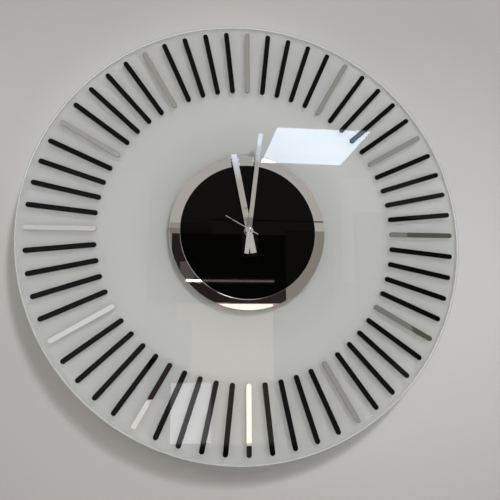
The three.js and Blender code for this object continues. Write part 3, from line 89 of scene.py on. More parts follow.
class Wire:
    """Output of a node. Arithmetic on it adds Math nodes."""

    def __init__(self, shading, output):
        self.shading = shading
        self.output = output

    def math(self, operation, first, second):
        return self.shading.node("Math", {"operation": operation}, {0: first, 1: second})

    def __add__(self, other):
        return self.math("ADD", self, other)

    def __sub__(self, other):
        return self.math("SUBTRACT", self, other)

    def __rsub__(self, other):
        return self.math("SUBTRACT", other, self)

    def __mul__(self, other):
        return self.math("MULTIPLY", self, other)

    def __pow__(self, other):
        return self.math("POWER", self, other)

    def __gt__(self, other):
        return self.math("GREATER_THAN", self, other)

    __radd__ = __add__
    __rmul__ = __mul__


class Shading:
    """Nodes of a finish or of the world. One method adds any of them."""

    def __init__(self, tree):
        self.tree = tree

    def feed(self, made, sockets):
        for key, value in sockets.items():
            if isinstance(value, Wire):
                self.tree.links.new(value.output, made.inputs[key])
            else:
                made.inputs[key].default_value = value

    def node(self, kind, settings, sockets, output=0):
        made = self.tree.nodes.new("ShaderNode" + kind)
        for key, value in settings.items():
            setattr(made, key, value)
        self.feed(made, sockets)
        return Wire(self, made.outputs[output])

    def surface(self, shader, end="Material Output"):
        self.tree.links.new(shader.output, self.tree.nodes[end].inputs["Surface"])
        return self


class Finish(Shading):
    """Material: one shader, and the patterns that vary its colour, gloss and relief."""

    def __init__(self, name, sockets):
        self.material = bpy.data.materials.new(name)
        self.material.use_nodes = True
        super().__init__(self.material.node_tree)
        self.shader = self.tree.nodes["Principled BSDF"]
        self.feed(self.shader, sockets)

    def place(self, scale=(1, 1, 1), turn=(0, 0, 0), shift=(0, 0, 0)):
        """Where a point is on the object, scaled, turned and shifted for a pattern."""
        where = self.node("TexCoord", {}, {}, "Object")
        return self.node("Mapping", {}, {
            "Vector": where, "Scale": scale, "Rotation": turn, "Location": shift})

    def noise(self, scale, detail=2.0, roughness=0.5, where=None):
        where = where or self.place()
        return self.node("TexNoise", {}, {
            "Vector": where, "Scale": scale, "Detail": detail, "Roughness": roughness})

    def blend(self, amount, first, second):
        """Colour between two, by an amount from 0 to 1."""
        return self.node("Mix", {"data_type": "RGBA"}, {0: amount, 6: first, 7: second}, 2)

    def relief(self, height, depth, strength=1.0):
        bump = self.node("Bump", {}, {"Height": height, "Distance": depth, "Strength": strength})
        self.feed(self.shader, {"Normal": bump})
        return self


def glass(name, tint, gloss):
    """Clear glass: what lies behind it, under the reflection in its polished face. Light that comes
    from within isn't reflected there, because this glass doesn't bend it either."""
    finish = Finish(name, {})
    smears = finish.noise(9.0, 4.0, 0.6)
    seen = finish.node("BsdfTransparent", {}, {"Color": tint})
    shine = finish.node("BsdfGlossy", {}, {"Color": gloss, "Roughness": 0.004 + 0.012 * smears})
    outside = 1 - finish.node("NewGeometry", {}, {}, "Backfacing")
    share = finish.node("Fresnel", {}, {"IOR": 1.52}) * outside
    return finish.surface(finish.node("MixShader", {}, {0: share, 1: seen, 2: shine}))


def painted_edge_glass(name, tone, share):
    """Edge of the glass, partly clear over a tone that is painted light where it is pale and
    painted shade where it is dark, for the light that real glass carries inside to its edge.
    """
    finish = Finish(name, {"Base Color": tone, "Roughness": 0.2})
    ground = finish.noise(60.0, 3.0)
    clear = finish.node("BsdfTransparent", {}, {"Color": CLEAR})
    polished = Wire(finish, finish.shader.outputs[0])
    return finish.surface(finish.node("MixShader", {}, {
        0: share * (0.85 + 0.3 * ground), 1: clear, 2: polished}))


def turned(profile, centre=shaft, steps=96, axis=(0, 1, 0)):
    """Body of revolution from (radius, height) pairs in mm, closed round a bore or on the axis."""
    body = bmesh.new()
    up = Vector(axis)
    out = up.orthogonal().normalized()
    points = [body.verts.new(centre + out * radius * MM + up * height * MM)
              for radius, height in profile]
    if profile[0][0] > 0:
        points.append(points[0])
    lines = [body.edges.new(pair) for pair in zip(points, points[1:])]
    bmesh.ops.spin(body, geom=list(body.verts) + lines, cent=centre, axis=up, angle=2 * math.pi,
                   steps=steps, use_merge=True)
    bmesh.ops.remove_doubles(body, verts=body.verts, dist=TOUCHING)
    bmesh.ops.recalc_face_normals(body, faces=body.faces)
    return body


def ease(body, width, segments=2, above=60, chosen=None):
    """Rounds the edges that turn by more than an angle, or the chosen ones of them, in mm."""
    edges = [e for e in body.edges if e.is_manifold and e.calc_face_angle() > math.radians(above)]
    if chosen:
        edges = [e for e in edges if chosen(e)]
    bmesh.ops.bevel(body, geom=edges, offset=width * MM, offset_type="OFFSET", segments=segments,
                    profile=0.5, affect="EDGES", clamp_overlap=True, material=-1)
    return body


def piece(name, body, *finishes, facets=35):
    """Object from a finished body, smooth but for its sharp edges, with its flats kept flat."""
    mesh = bpy.data.meshes.new(name)
    body.to_mesh(mesh)
    body.free()
    for finish in finishes:
        mesh.materials.append(finish.material)
    mesh.shade_smooth()
    mesh.set_sharp_from_angle(angle=math.radians(facets))
    made = bpy.data.objects.new(name, mesh)
    bpy.context.scene.collection.objects.link(made)
    weighted = made.modifiers.new("Flats", "WEIGHTED_NORMAL")
    weighted.keep_sharp = True
    return made


turns = [math.radians(15 * step) for step in range(7)]
rim_inset = [rim_rounding * (1 - math.sin(turn)) for turn in turns]
rim_height = [rim_rounding * (1 - math.cos(turn)) for turn in turns]
rim = [(pane_radius - inset, glass_front + bevel_depth + height)
       for inset, height in zip(rim_inset, rim_height)]
rim_back = [(pane_radius - inset, glass_back - height)
            for inset, height in zip(reversed(rim_inset), reversed(rim_height))]
body = turned([(hole_radius, glass_front), (pane_radius - bevel_width, glass_front),
               *rim, *rim_back, (hole_radius, glass_back + into_lacquer)], steps=256)
TILTED_OUT = -0.2
FACING_BACK = 0.5
BEVEL, RIM, BEHIND, ARRIS = range(1, 5)
for face in body.faces:
    out = (face.calc_center_median() - shaft).xz.length / MM
    if face.normal.y < TILTED_OUT and out > pane_radius - rim_rounding:
        face.material_index = ARRIS
    elif out > pane_radius - rim_rounding:
        face.material_index = RIM
    elif face.normal.y > FACING_BACK:
        face.material_index = BEHIND
    elif out > pane_radius - bevel_width:
        face.material_index = BEVEL
glass_face = glass("glass_face", CLEAR, WHITE)
# Painted light on the bevel and the rim in pale tones, for the light that real glass carries inside
# it; painted shade in a dark tone on the arris, for the dark line at its outer edge.
glass_bevel = painted_edge_glass("glass_bevel", colour(236, 238, 234), 0.25)
glass_rim = painted_edge_glass("glass_rim", colour(222, 224, 221), 0.6)
glass_arris = painted_edge_glass("glass_arris", colour(112, 114, 112), 0.7)
glass_behind = Finish("glass_behind", {})
glass_behind.surface(glass_behind.node("BsdfTransparent", {}, {"Color": WHITE}))
pane = piece("dial_pane", body, glass_face, glass_bevel, glass_rim, glass_behind, glass_arris,
             facets=3)
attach(pane, "clock_body")
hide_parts("dial_glass")


# White lacquer on the back of the glass, rolled on and baked short of the rim: a colour coat, and
# a grey primer over it that is slightly rippled. Light spreads sideways in the coat. The coat's
# colour is painted greyer round the discs, as painted shade for the light that they hold back.
low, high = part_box("white_backing")
coat_thickness = 0.2
coat_overlap = 0.01
lacquer = Finish("white_lacquer", {
    "Roughness": 0.45, "Subsurface Weight": 0.8, "Subsurface Radius": (1, 1, 1),
    "Subsurface Scale": 0.010})
lacquer.shader.subsurface_method = "BURLEY"


def spot(finish, scale, shift):
    """Amount that is 1 at one place and falls off round it to 0."""
    return finish.node("TexGradient", {"gradient_type": "SPHERICAL"}, {
        "Vector": finish.place(scale, shift=shift)})


patches = lacquer.noise(4.0, 3.0)
reach = 1 / 0.16
# Painted shade: the coat's colour turns greyer towards the discs.
painted_shade_near_discs = spot(lacquer, (reach, 0, reach), (0, 0, -shaft.z * reach))
open_coat = lacquer.blend(patches, colour(180, 181, 180), colour(184, 185, 184))
shaded_coat = lacquer.blend(2.4 * painted_shade_near_discs, open_coat, colour(169, 170, 169))
lacquer.feed(lacquer.shader, {"Base Color": shaded_coat})
primer = Finish("grey_primer", {"Roughness": 0.55})
ripples = primer.noise(650.0, 3.0)
primer.feed(primer.shader, {
    "Base Color": primer.blend(ripples, colour(168, 169, 168), colour(182, 183, 182))})
primer.relief(ripples, 0.00004)
coat_radius = high.x / MM
coat_back = low.y / MM + coat_thickness
for name, front, back, finish in (
        ("dial_lacquer", low.y / MM, coat_back, lacquer),
        ("dial_primer", coat_back - coat_overlap, high.y / MM, primer)):
    body = turned([(hole_radius, front), (coat_radius, front), (coat_radius, back),
                   (hole_radius, back)], steps=256)
    coat = piece(name, body, finish)
    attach(coat, "clock_body")
    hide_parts("white_backing")


# Forty-eight black bars, one for each minute that isn't an hour. Cut from 2 mm black gloss
# acrylic with polished edges, and bonded to the face of the glass.
bar_thickness = 2
bar_front = glass_front - bar_thickness
bar_seat = 0.03
bar_width = 6.8
bar_outer = 289
bar_inner = 198
end_flat = 0.005


def bar(minute):
    """Bar with round ends at a minute, its front edges eased."""
    body = bmesh.new()
    bmesh.ops.create_cube(body, size=1)
    size = Vector((bar_width, bar_thickness + bar_seat, bar_outer - bar_inner)) * MM
    bmesh.ops.scale(body, verts=body.verts, vec=size)
    upright = [e for e in body.edges if abs(e.verts[0].co.y - e.verts[1].co.y) > MM]
    bmesh.ops.bevel(body, geom=upright, offset=(bar_width / 2 - end_flat) * MM,
                    offset_type="OFFSET", segments=10, profile=0.5, affect="EDGES",
                    clamp_overlap=True, material=-1)
    ease(body, 0.22, chosen=lambda e: all(v.co.y < 0 for v in e.verts))
    middle_depth = bar_front + bar_thickness / 2 + bar_seat / 2
    middle = Vector((0, middle_depth, (bar_outer + bar_inner) / 2)) * MM
    bmesh.ops.translate(body, verts=body.verts, vec=middle)
    turn = Matrix.Rotation(math.radians(6 * minute), 3, "Y")
    bmesh.ops.rotate(body, verts=body.verts, matrix=turn)
    bmesh.ops.translate(body, verts=body.verts, vec=shaft)
    return body


def gloss_black(name, shine, depth):
    """Black acrylic with a polished face, some dust on it and a faint haze."""
    finish = Finish(name, {
        "Base Color": (depth, depth, 0.9 * depth, 1), "Specular IOR Level": shine})
    dust = finish.noise(1400.0, 1.0) > 0.74
    haze = finish.noise(14.0, 3.0)
    finish.feed(finish.shader, {"Roughness": 0.015 + 0.02 * haze + 0.2 * dust})
    return finish


black_gloss = gloss_black("black_gloss", 0.17, 0.0022)
body = bmesh.new()
for minute in range(60):
    if minute % 5:
        strip = bar(minute)
        mesh = bpy.data.meshes.new("strip")
        strip.to_mesh(mesh)
        strip.free()
        body.from_mesh(mesh)
        bpy.data.meshes.remove(mesh)
minute_bars = piece("minute_bars", body, black_gloss, facets=12)
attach(minute_bars, "clock_body")
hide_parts("dial_glass")


# Twelve mirror bars, one for each hour, of the same shape as the black ones. Silvered acrylic:
# the face is bright and a little soft at its smears, and the sawn edges are polished clear.
mirror_face = Finish("mirror_face", {"Base Color": (0.80, 0.79, 0.78, 1), "Metallic": 1.0})
smears = mirror_face.noise(30.0, 4.0, 0.6)
mirror_face.feed(mirror_face.shader, {"Roughness": 0.008 + 0.02 * smears ** 2})
FACING_OUT = -0.999


def cut_edge(name, dark, light, roughness, metallic):
    """Sawn and polished edge, faintly streaked through its thickness."""
    finish = Finish(name, {"Roughness": roughness, "Metallic": metallic})
    streaks = finish.noise(300.0, 2.0, 0.5, finish.place((1, 12, 1)))
    finish.feed(finish.shader, {"Base Color": finish.blend(streaks, dark, light)})
    return finish


mirror_edge = cut_edge("mirror_edge", colour(112, 114, 112), colour(158, 160, 158), 0.12, 0.6)
for hour in range(1, 13):
    node = f"hour_marker_{hour:02d}"
    body = bar(5 * hour)
    for face in body.faces:
        face.material_index = 0 if face.normal.y < FACING_OUT else 1
    marker = piece(f"mirror_bar_{hour:02d}", body, mirror_face, mirror_edge, facets=12)
    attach(marker, "clock_body")
    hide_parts(node)


# Mirror disc in the middle of the dial. 3 mm mirror, cut round, with a narrow polished edge,
# bonded to the glass behind the black disc.
low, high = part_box("mirror_disc")
disc_bore = 4.2
disc_edge = 0.4
disc_seat = 0.02
mirror_radius = high.x / MM
mirror_front = low.y / MM


def round_plate(radius, front, back):
    """Disc with a hole for the bush and a narrow bevel round its front."""
    return turned([(disc_bore, front), (radius - disc_edge, front), (radius, front + disc_edge),
                   (radius, back + disc_seat), (disc_bore, back + disc_seat)], steps=192)


body = round_plate(mirror_radius, mirror_front, glass_front)
for face in body.faces:
    face.material_index = 0 if face.normal.y < FACING_OUT else 1
# Painted highlight: the mirror disc's rim is near white and metallic, for the glint along its edge.
disc_rim_painted_glint = cut_edge("mirror_rim_painted_glint", colour(216, 217, 216), colour(238, 239, 238), 0.1, 0.85)
disc = piece("mirror_disc_plate", body, mirror_face, disc_rim_painted_glint)
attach(disc, "clock_body")
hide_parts("mirror_disc")


# Black disc on the mirror disc. 3 mm black gloss acrylic, cut round, with a polished bevel round
# its edge, bonded to the mirror that carries it.
low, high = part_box("black_disc")
black_radius = high.x / MM
black_front = low.y / MM
body = round_plate(black_radius, black_front, mirror_front)
for face in body.faces:
    flat = face.normal.y < FACING_OUT or face.normal.y > FACING_BACK
    face.material_index = 0 if flat else 1
# Painted highlight: the black disc's bevel is pale grey and metallic, for the glint along it.
black_rim_painted_glint = cut_edge("black_disc_rim_painted_glint", colour(146, 147, 147), colour(168, 169, 168), 0.12, 0.8)
disc = piece("black_disc_plate", body, gloss_black("black_disc_gloss", 0.12, 0.0012), black_rim_painted_glint)
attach(disc, "clock_body")
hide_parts("black_disc")


# Fixing of the movement: a hexagon nut and a washer on a threaded bush, all turned brass, the nut
# and washer nickel plated. The bush goes through dial and discs, with its flange on the case.
def from_node(name):
    """Merged copy of a CAD node's body, with each flat as one face."""
    body = bmesh.new()
    body.from_mesh(nodes[name].data)
    bmesh.ops.remove_doubles(body, verts=body.verts, dist=TOUCHING)
    bmesh.ops.dissolve_limit(body, angle_limit=math.radians(0.5), verts=body.verts,
                             edges=body.edges)
    return body


def plated(name, tone, gloss, scratched=0.4):
    """Plated metal with faint clouding and fine scratches."""
    finish = Finish(name, {"Metallic": 1.0})
    clouds = finish.noise(180.0, 3.0)
    scratches = finish.noise(900.0, 2.0, 0.6, finish.place((1, 1, 14), (0.4, 0.9, 0.2)))
    darker = (*(0.8 * part for part in tone[:3]), 1)
    finish.feed(finish.shader, {
        "Base Color": finish.blend(clouds, darker, tone),
        "Roughness": gloss * (0.7 + 0.6 * clouds),
    })
    return finish.relief(scratches, 0.00001, scratched)


nickel = plated("nickel_plate", (0.62, 0.61, 0.60, 1), 0.22)
brass = plated("turned_brass", (0.66, 0.46, 0.19, 1), 0.28)
bush_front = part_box("threaded_bush")[0].y / MM
washer_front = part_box("fixing_washer")[0].y / MM
washer_radius = 6.2
case_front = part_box("movement_case")[0].y / MM
bush_bore = 2.7
bush_radius = 4
bush_chamfer = 0.35
thread_start = 0.3
thread_pitch = 0.5
thread_depth = 0.12
flange_radius = 6
flange_front = case_front - 0.9
spigot_radius = 3.6
spigot_back = case_front + 1.2
threads = []
height = bush_front + thread_start
while height < glass_back:
    threads += [(bush_radius - thread_depth, height), (bush_radius, height + thread_pitch / 2)]
    height += thread_pitch
body = turned([(bush_bore, bush_front), (bush_radius - bush_chamfer, bush_front), *threads,
               (bush_radius, flange_front), (flange_radius, flange_front),
               (flange_radius, case_front), (spigot_radius, case_front),
               (spigot_radius, spigot_back), (bush_bore, spigot_back)], steps=64)
bush = piece("bush_thread", body, brass)
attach(bush, "clock_body")
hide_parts("threaded_bush")

nut = piece("hexagon_nut", ease(from_node("fixing_nut"), 0.12, above=20), nickel)
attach(nut, "clock_body")
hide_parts("fixing_nut")

body = turned([(disc_bore, washer_front), (washer_radius, washer_front),
               (washer_radius, black_front), (disc_bore, black_front)], steps=64)
washer = piece("flat_washer", ease(body, 0.1), nickel)
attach(washer, "clock_body")
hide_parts("fixing_washer")


# Hour hand. A straight strip punched from bright aluminium sheet, brushed along its length, with
# a round boss pressed onto the hour pipe and a turned brass collar behind it.
def straight_hand(length, tail, width, boss, bore, front, back):
    """Hand that points to twelve: half its outline, mirrored, filled round its bore and raised."""
    body = bmesh.new()
    half = width / 2
    meet = math.sqrt(boss ** 2 - half ** 2)
    low_end = body.verts.new(Vector((0, front, -tail)) * MM)
    corner = body.verts.new(Vector((half, front, -tail)) * MM)
    start = body.verts.new(Vector((half, front, -meet)) * MM)
    body.edges.new((low_end, corner))
    body.edges.new((corner, start))
    swing = 2 * math.atan2(meet, half)
    arc = bmesh.ops.spin(body, geom=[start], cent=Vector((0, front, 0)) * MM, axis=(0, 1, 0),
                         angle=-swing, steps=16)
    last = next(item for item in arc["geom_last"] if isinstance(item, bmesh.types.BMVert))
    far = body.verts.new(Vector((half, front, length)) * MM)
    tip = body.verts.new(Vector((0, front, length)) * MM)
    body.edges.new((last, far))
    body.edges.new((far, tip))
    bmesh.ops.mirror(body, geom=list(body.verts) + list(body.edges), merge_dist=TOUCHING, axis="X")
    upright = Matrix.Translation((0, front * MM, 0)) @ Matrix.Rotation(math.pi / 2, 4, "X")
    bmesh.ops.create_circle(body, segments=32, radius=bore * MM, matrix=upright)
    bmesh.ops.remove_doubles(body, verts=body.verts, dist=TOUCHING)
    bmesh.ops.triangle_fill(body, use_beauty=True, use_dissolve=False, edges=body.edges)
    raised = bmesh.ops.extrude_face_region(body, geom=list(body.faces), use_keep_orig=True)
    moved = [item for item in raised["geom"] if isinstance(item, bmesh.types.BMVert)]
    bmesh.ops.translate(body, verts=moved, vec=(0, (back - front) * MM, 0))
    bmesh.ops.recalc_face_normals(body, faces=body.faces)
    return body


def set_hand(body, degrees):
    """Turns a hand clockwise from twelve and brings it onto the shaft."""
    turn = Matrix.Rotation(math.radians(degrees), 3, "Y")
    bmesh.ops.rotate(body, verts=body.verts, matrix=turn)
    bmesh.ops.translate(body, verts=body.verts, vec=shaft)
    return body


def brushed(name, degrees):
    """Bright aluminium, brushed along a hand that stands at an angle."""
    finish = Finish(name, {"Metallic": 1.0, "Base Color": (0.78, 0.785, 0.76, 1)})
    along = finish.place((1, 1, 0.02), (0, math.radians(-degrees), 0))
    lines = finish.noise(5200.0, 2.0, 0.6, along)
    wear = finish.noise(45.0, 3.0)
    finish.feed(finish.shader, {"Roughness": 0.02 + 0.02 * lines + 0.01 * wear})
    return finish.relief(lines, 0.000001, 0.5)


low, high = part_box("hour_hand")
hour_angle = -11
hour_bore = 2.65
body = straight_hand(length=106.5, tail=31, width=8, boss=5.5, bore=hour_bore,
                     front=low.y / MM, back=high.y / MM)
hour_metal = brushed("hour_hand_metal", hour_angle)
hand = piece("hour_hand_blade", set_hand(ease(body, 0.06), hour_angle), hour_metal, facets=12)
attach(hand, "hour_hand")
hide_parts("hour_hand")

low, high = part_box("hour_hand_collar")
collar_radius = 3.75
body = turned([(hour_bore, low.y / MM), (collar_radius, low.y / MM),
               (collar_radius, high.y / MM), (hour_bore, high.y / MM)], steps=48)
collar = piece("hour_collar_ring", ease(body, 0.12), brass)
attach(collar, "hour_hand")
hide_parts("hour_hand_collar")


# Minute hand. Longer, slimmer and thinner than the hour hand, of the same brushed sheet, held on
# the minute pipe by a round nickel-plated nut.
low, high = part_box("minute_hand")
minute_angle = 6.9
minute_bore = 1.7
body = straight_hand(length=135.5, tail=32, width=5.8, boss=4.8, bore=minute_bore,
                     front=low.y / MM, back=high.y / MM)
minute_metal = brushed("minute_hand_metal", minute_angle)
hand = piece("minute_hand_blade", set_hand(ease(body, 0.05), minute_angle), minute_metal,
             facets=12)
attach(hand, "minute_hand")
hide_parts("minute_hand")

low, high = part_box("minute_hand_nut")
nut_front = low.y / MM
nut_back = high.y / MM
nut_radius = 3.1
shoulder = [(2.15, 0), (2.5, 0.05), (2.8, 0.14), (3, 0.27), (nut_radius, 0.5)]
body = turned([(minute_bore, nut_front),
               *((radius, nut_front + depth) for radius, depth in shoulder),
               (nut_radius, nut_back), (minute_bore, nut_back)], steps=64)
bright_nickel = plated("bright_nickel", (0.78, 0.77, 0.76, 1), 0.05, 0.05)
nut = piece("minute_nut_ring", body, bright_nickel, facets=40)
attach(nut, "minute_hand")
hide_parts("minute_hand_nut")


# Seconds hand. A needle of the same thin sheet riveted to a tube, under a domed nickel-plated cap
# whose tube grips the seconds arbor.
low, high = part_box("seconds_hand")
hand_front = low.y / MM
seconds_angle = -60.5
body = straight_hand(length=36, tail=13, width=1, boss=1.9, bore=1.2,
                     front=hand_front, back=high.y / MM)
seconds_metal = brushed("seconds_hand_metal", seconds_angle)
hand = piece("seconds_hand_blade", set_hand(ease(body, 0.04, segments=1), seconds_angle),
             seconds_metal, facets=12)
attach(hand, "seconds_hand")
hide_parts("seconds_hand")

cap_radius = 2.2
cap_front = hand_front - 1
cap_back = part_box("seconds_hand_cap")[1].y / MM
tube_radius = 1.1
arbor_radius = 0.55
arbor_tip = hand_front + 0.1
dome_radius = 12
dome_edge = cap_radius - 0.35
dome = [(out, cap_front + out ** 2 / (2 * dome_radius))
        for out in (dome_edge * step / 8 for step in range(9))]
body = turned([*dome, (cap_radius - 0.1, cap_front + 0.28), (cap_radius, cap_front + 0.5),
               (cap_radius, hand_front), (tube_radius, hand_front), (tube_radius, cap_back),
               (arbor_radius, cap_back), (arbor_radius, arbor_tip), (0, arbor_tip)], steps=48)
cap = piece("seconds_cap_dome", body, bright_nickel)
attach(cap, "seconds_hand")
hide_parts("seconds_hand_cap")


# Gasket between the case and the lacquer. A flat ring cut from black rubber sheet, squeezed by the
# bush so that the movement can't turn.
rubber = Finish("black_rubber", {"Roughness": 0.8})
grain = rubber.noise(900.0, 4.0, 0.6)
rubber.feed(rubber.shader, {
    "Base Color": rubber.blend(grain, colour(24, 24, 25), colour(46, 46, 47))})
rubber.relief(grain, 0.00006)
low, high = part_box("rubber_gasket")
gasket_bore = 6.3
gasket_radius = 12
body = turned([(gasket_bore, low.y / MM), (gasket_radius, low.y / MM),
               (gasket_radius, high.y / MM), (gasket_bore, high.y / MM)], steps=64)
gasket = piece("gasket_ring", ease(body, 0.3, segments=3), rubber)
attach(gasket, "clock_body")
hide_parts("rubber_gasket")


# Movement case and its cover. Black ABS, moulded with a fine spark-eroded grain that is worn to a
# shine along the edges. The cover is a press fit over the train.
def moulded(name, dark, light, rough=0.5, grain_size=1500.0, grain_depth=0.00005):
    """Moulded plastic with a fine grain, flow marks and shinier rubbed spots."""
    finish = Finish(name, {"IOR": 1.5})
    grain = finish.noise(grain_size, 4.0, 0.6)
    flow = finish.noise(26.0, 3.0)
    finish.feed(finish.shader, {
        "Base Color": finish.blend(flow, dark, light),
        "Roughness": rough * (0.85 + 0.3 * flow),
    })
    return finish.relief(grain, grain_depth, 0.6)


case_plastic = moulded("case_plastic", colour(25, 25, 27), colour(36, 36, 38))
case = piece("case_moulding", ease(from_node("movement_case"), 0.18, above=40), case_plastic)
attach(case, "clock_body")
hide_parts("movement_case")

cover = piece("cover_moulding", ease(from_node("movement_cover"), 0.12, above=40), case_plastic)
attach(cover, "clock_body")
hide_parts("movement_cover")


# Setting knob. Moulded of off-white acetal in one with its stem and pinion, its rim eased for the
# finger. It turns in the case and drives the minute wheel.
acetal = moulded("gear_plastic", colour(206, 203, 192), colour(218, 216, 208), 0.4, 2200.0,
                 0.00002)
low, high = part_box("setting_knob")
knob_axis = (low + high) / 2
knob_back = high.y
stem_clear = 3
rim_depth = 0.1


def on_knob_rim(edge):
    """Whether an edge runs round the back face of the knob."""
    return all((v.co - knob_axis).xz.length > stem_clear * MM
               and v.co.y > knob_back - rim_depth * MM for v in edge.verts)


body = ease(from_node("setting_knob"), 0.2, above=40, chosen=on_knob_rim)
knob = piece("setting_knob_moulding", body, acetal)
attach(knob, "setting_knob")
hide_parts("setting_knob")


# Gear train and motor, out of sight in the case. Off-white acetal wheels, brass cannon pinion,
# sintered magnet, iron stator and core, copper coil, green board. The CAD's shapes are kept.
iron = plated("soft_iron", (0.42, 0.42, 0.43, 1), 0.35)
magnet = moulded("sintered_magnet", colour(62, 62, 66), colour(80, 80, 84), 0.55, 3000.0, 0.00003)
board = moulded("circuit_board", colour(24, 84, 46), colour(34, 102, 58), 0.35, 600.0, 0.00002)
copper = Finish("copper_wire", {
    "Metallic": 1.0, "Roughness": 0.3, "Base Color": (0.62, 0.24, 0.11, 1)})
windings = copper.node("TexWave", {"bands_direction": "Z"}, {
    "Vector": copper.place(), "Scale": 2600.0})
copper.relief(windings, 0.00005)
for name, finish in {
    "hour_wheel": acetal, "cannon_pinion": brass, "minute_wheel": acetal,
    "centre_wheel": acetal, "third_wheel": acetal, "seconds_wheel": acetal,
    "intermediate_wheel": acetal, "rotor": acetal, "rotor_magnet": magnet,
    "train_plate": acetal, "stator": iron, "coil_core": iron, "coil_bobbin": acetal,
    "coil_winding": copper, "circuit_board": board, "clock_chip": case_plastic,
    "quartz_crystal": nickel,
}.items():
    for place in nodes[name].material_slots:
        place.material = finish.material


# Battery contacts at the two ends of the bay. Bent from nickel-plated spring strip and pressed into
# slots in the case.
for node, name in (("positive_contact", "contact_strip_right"),
                   ("negative_contact", "contact_strip_left")):
    contact = piece(name, ease(from_node(node), 0.05, segments=1, above=40), nickel)
    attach(contact, "clock_body")
    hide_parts(node)


# AA cell in the open bay. A steel can in a shrunk blue sleeve that is rolled over both ends, with
# its button at the right and a sunk ring round the flat end at the left.
low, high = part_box("battery")
cell_middle = (low + high) / 2
cell_half = (high.x - low.x) / 2 / MM
cell_radius = 7.25
hem_radius = 7.1
hem_top = 6.65
button_radius = 2.75
sleeve_bore = 6.05
sleeve = Finish("battery_sleeve", {
    "Metallic": 0.35, "Roughness": 0.3, "Coat Weight": 0.6, "Coat Roughness": 0.12})
wear = sleeve.noise(120.0, 4.0, 0.6)
sleeve.feed(sleeve.shader, {
    "Base Color": sleeve.blend(wear, colour(28, 58, 104), colour(38, 72, 122))})
sleeve.relief(sleeve.noise(320.0, 2.0), 0.00003)
flat_end = [(0, 0), (4.4, 0), (4.6, 0.35), (5.9, 0.35), (6.2, 0.05), (hem_top, 0),
            (hem_radius, 0.2), (cell_radius, 0.6)]
button_end = [(cell_radius, 1.6), (hem_radius, 1.2), (hem_top, 1), (6.1, 1.05), (5.9, 1.35),
              (3.2, 1.35), (button_radius, 1.1), (button_radius, 0.15), (2.6, 0), (0, 0)]
body = turned([*((radius, depth - cell_half) for radius, depth in flat_end),
               *((radius, cell_half - depth) for radius, depth in button_end)],
              cell_middle, 64, (1, 0, 0))
for face in body.faces:
    middle = face.calc_center_median() - cell_middle
    face.material_index = 0 if middle.yz.length > sleeve_bore * MM else 1
cell = piece("battery_cell", body, sleeve, nickel)
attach(cell, "battery")
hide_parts("battery")


# Hanging bracket. 1.2 mm sheet steel with a punched keyhole, bent to a top hat, zinc plated and
# dull. Its two flanges are bonded to the lacquer.
zinc = Finish("zinc_steel", {"Metallic": 1.0})
crystals = zinc.node("TexVoronoi", {}, {"Vector": zinc.place(), "Scale": 260.0}, "Color")
spangle = zinc.node("RGBToBW", {}, {"Color": crystals})
stains = zinc.noise(60.0, 4.0, 0.6)
zinc.feed(zinc.shader, {
    "Base Color": zinc.blend(spangle, (0.42, 0.44, 0.46, 1), (0.55, 0.57, 0.58, 1)),
    "Roughness": 0.28 + 0.14 * spangle + 0.12 * stains,
})
zinc.relief(stains, 0.00003)
bracket = piece("hanger_sheet", ease(from_node("hanging_bracket"), 0.25, above=25), zinc)
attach(bracket, "clock_body")
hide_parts("hanging_bracket")


# Bonding pads between the bracket's flanges and the lacquer. Cut from white foam tape that is
# adhesive on both faces.
foam = Finish("foam_tape", {"Roughness": 0.9})
cells = foam.node("TexVoronoi", {}, {"Vector": foam.place(), "Scale": 2200.0})
foam.feed(foam.shader, {
    "Base Color": foam.blend(cells, colour(196, 196, 190), colour(214, 214, 208))})
foam.relief(cells, 0.00015)
for side in ("left", "right"):
    pad = piece(f"foam_pad_{side}", ease(from_node(f"glue_pad_{side}"), 0.3), foam)
    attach(pad, "clock_body")
    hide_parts(f"glue_pad_{side}")


# Spacers at the bottom of the dial. Waisted posts turned from black plastic, bonded to the
# lacquer, each with a felt that touches the wall.
base_radius = 14
base_thickness = 1.5
neck_radius = 8.5
neck_start = 4.5
head_radius = 10.5
head_thickness = 1.5
felt_radius = 10.2
felt = Finish("felt", {"Roughness": 0.95, "Sheen Weight": 0.4, "Sheen Roughness": 0.5})
fibres = felt.noise(1800.0, 5.0, 0.7)
tufts = felt.noise(240.0, 3.0)
felt.feed(felt.shader, {
    "Base Color": felt.blend(fibres, colour(30, 30, 32), colour(62, 62, 66))})
felt.relief(fibres + 0.6 * tufts, 0.0003)
for side in ("left", "right"):
    low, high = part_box(f"spacer_{side}")
    axis = (low + high) / 2
    axis.y = 0
    base = low.y / MM
    head = high.y / MM
    body = turned([(0, base), (base_radius, base), (base_radius, base + base_thickness),
                   (neck_radius, base + neck_start), (neck_radius, head - neck_start),
                   (head_radius, head - head_thickness), (head_radius, head), (0, head)], axis, 64)
    post = piece(f"spacer_post_{side}", ease(body, 0.4, segments=3, above=20), case_plastic)
    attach(post, "clock_body")
    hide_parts(f"spacer_{side}")
    low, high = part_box(f"felt_{side}")
    body = turned([(0, low.y / MM), (felt_radius, low.y / MM), (felt_radius, high.y / MM),
                   (0, high.y / MM)], axis, 64)
    pad = piece(f"felt_disc_{side}", ease(body, 0.35, segments=3), felt)
    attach(pad, "clock_body")
    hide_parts(f"felt_{side}")


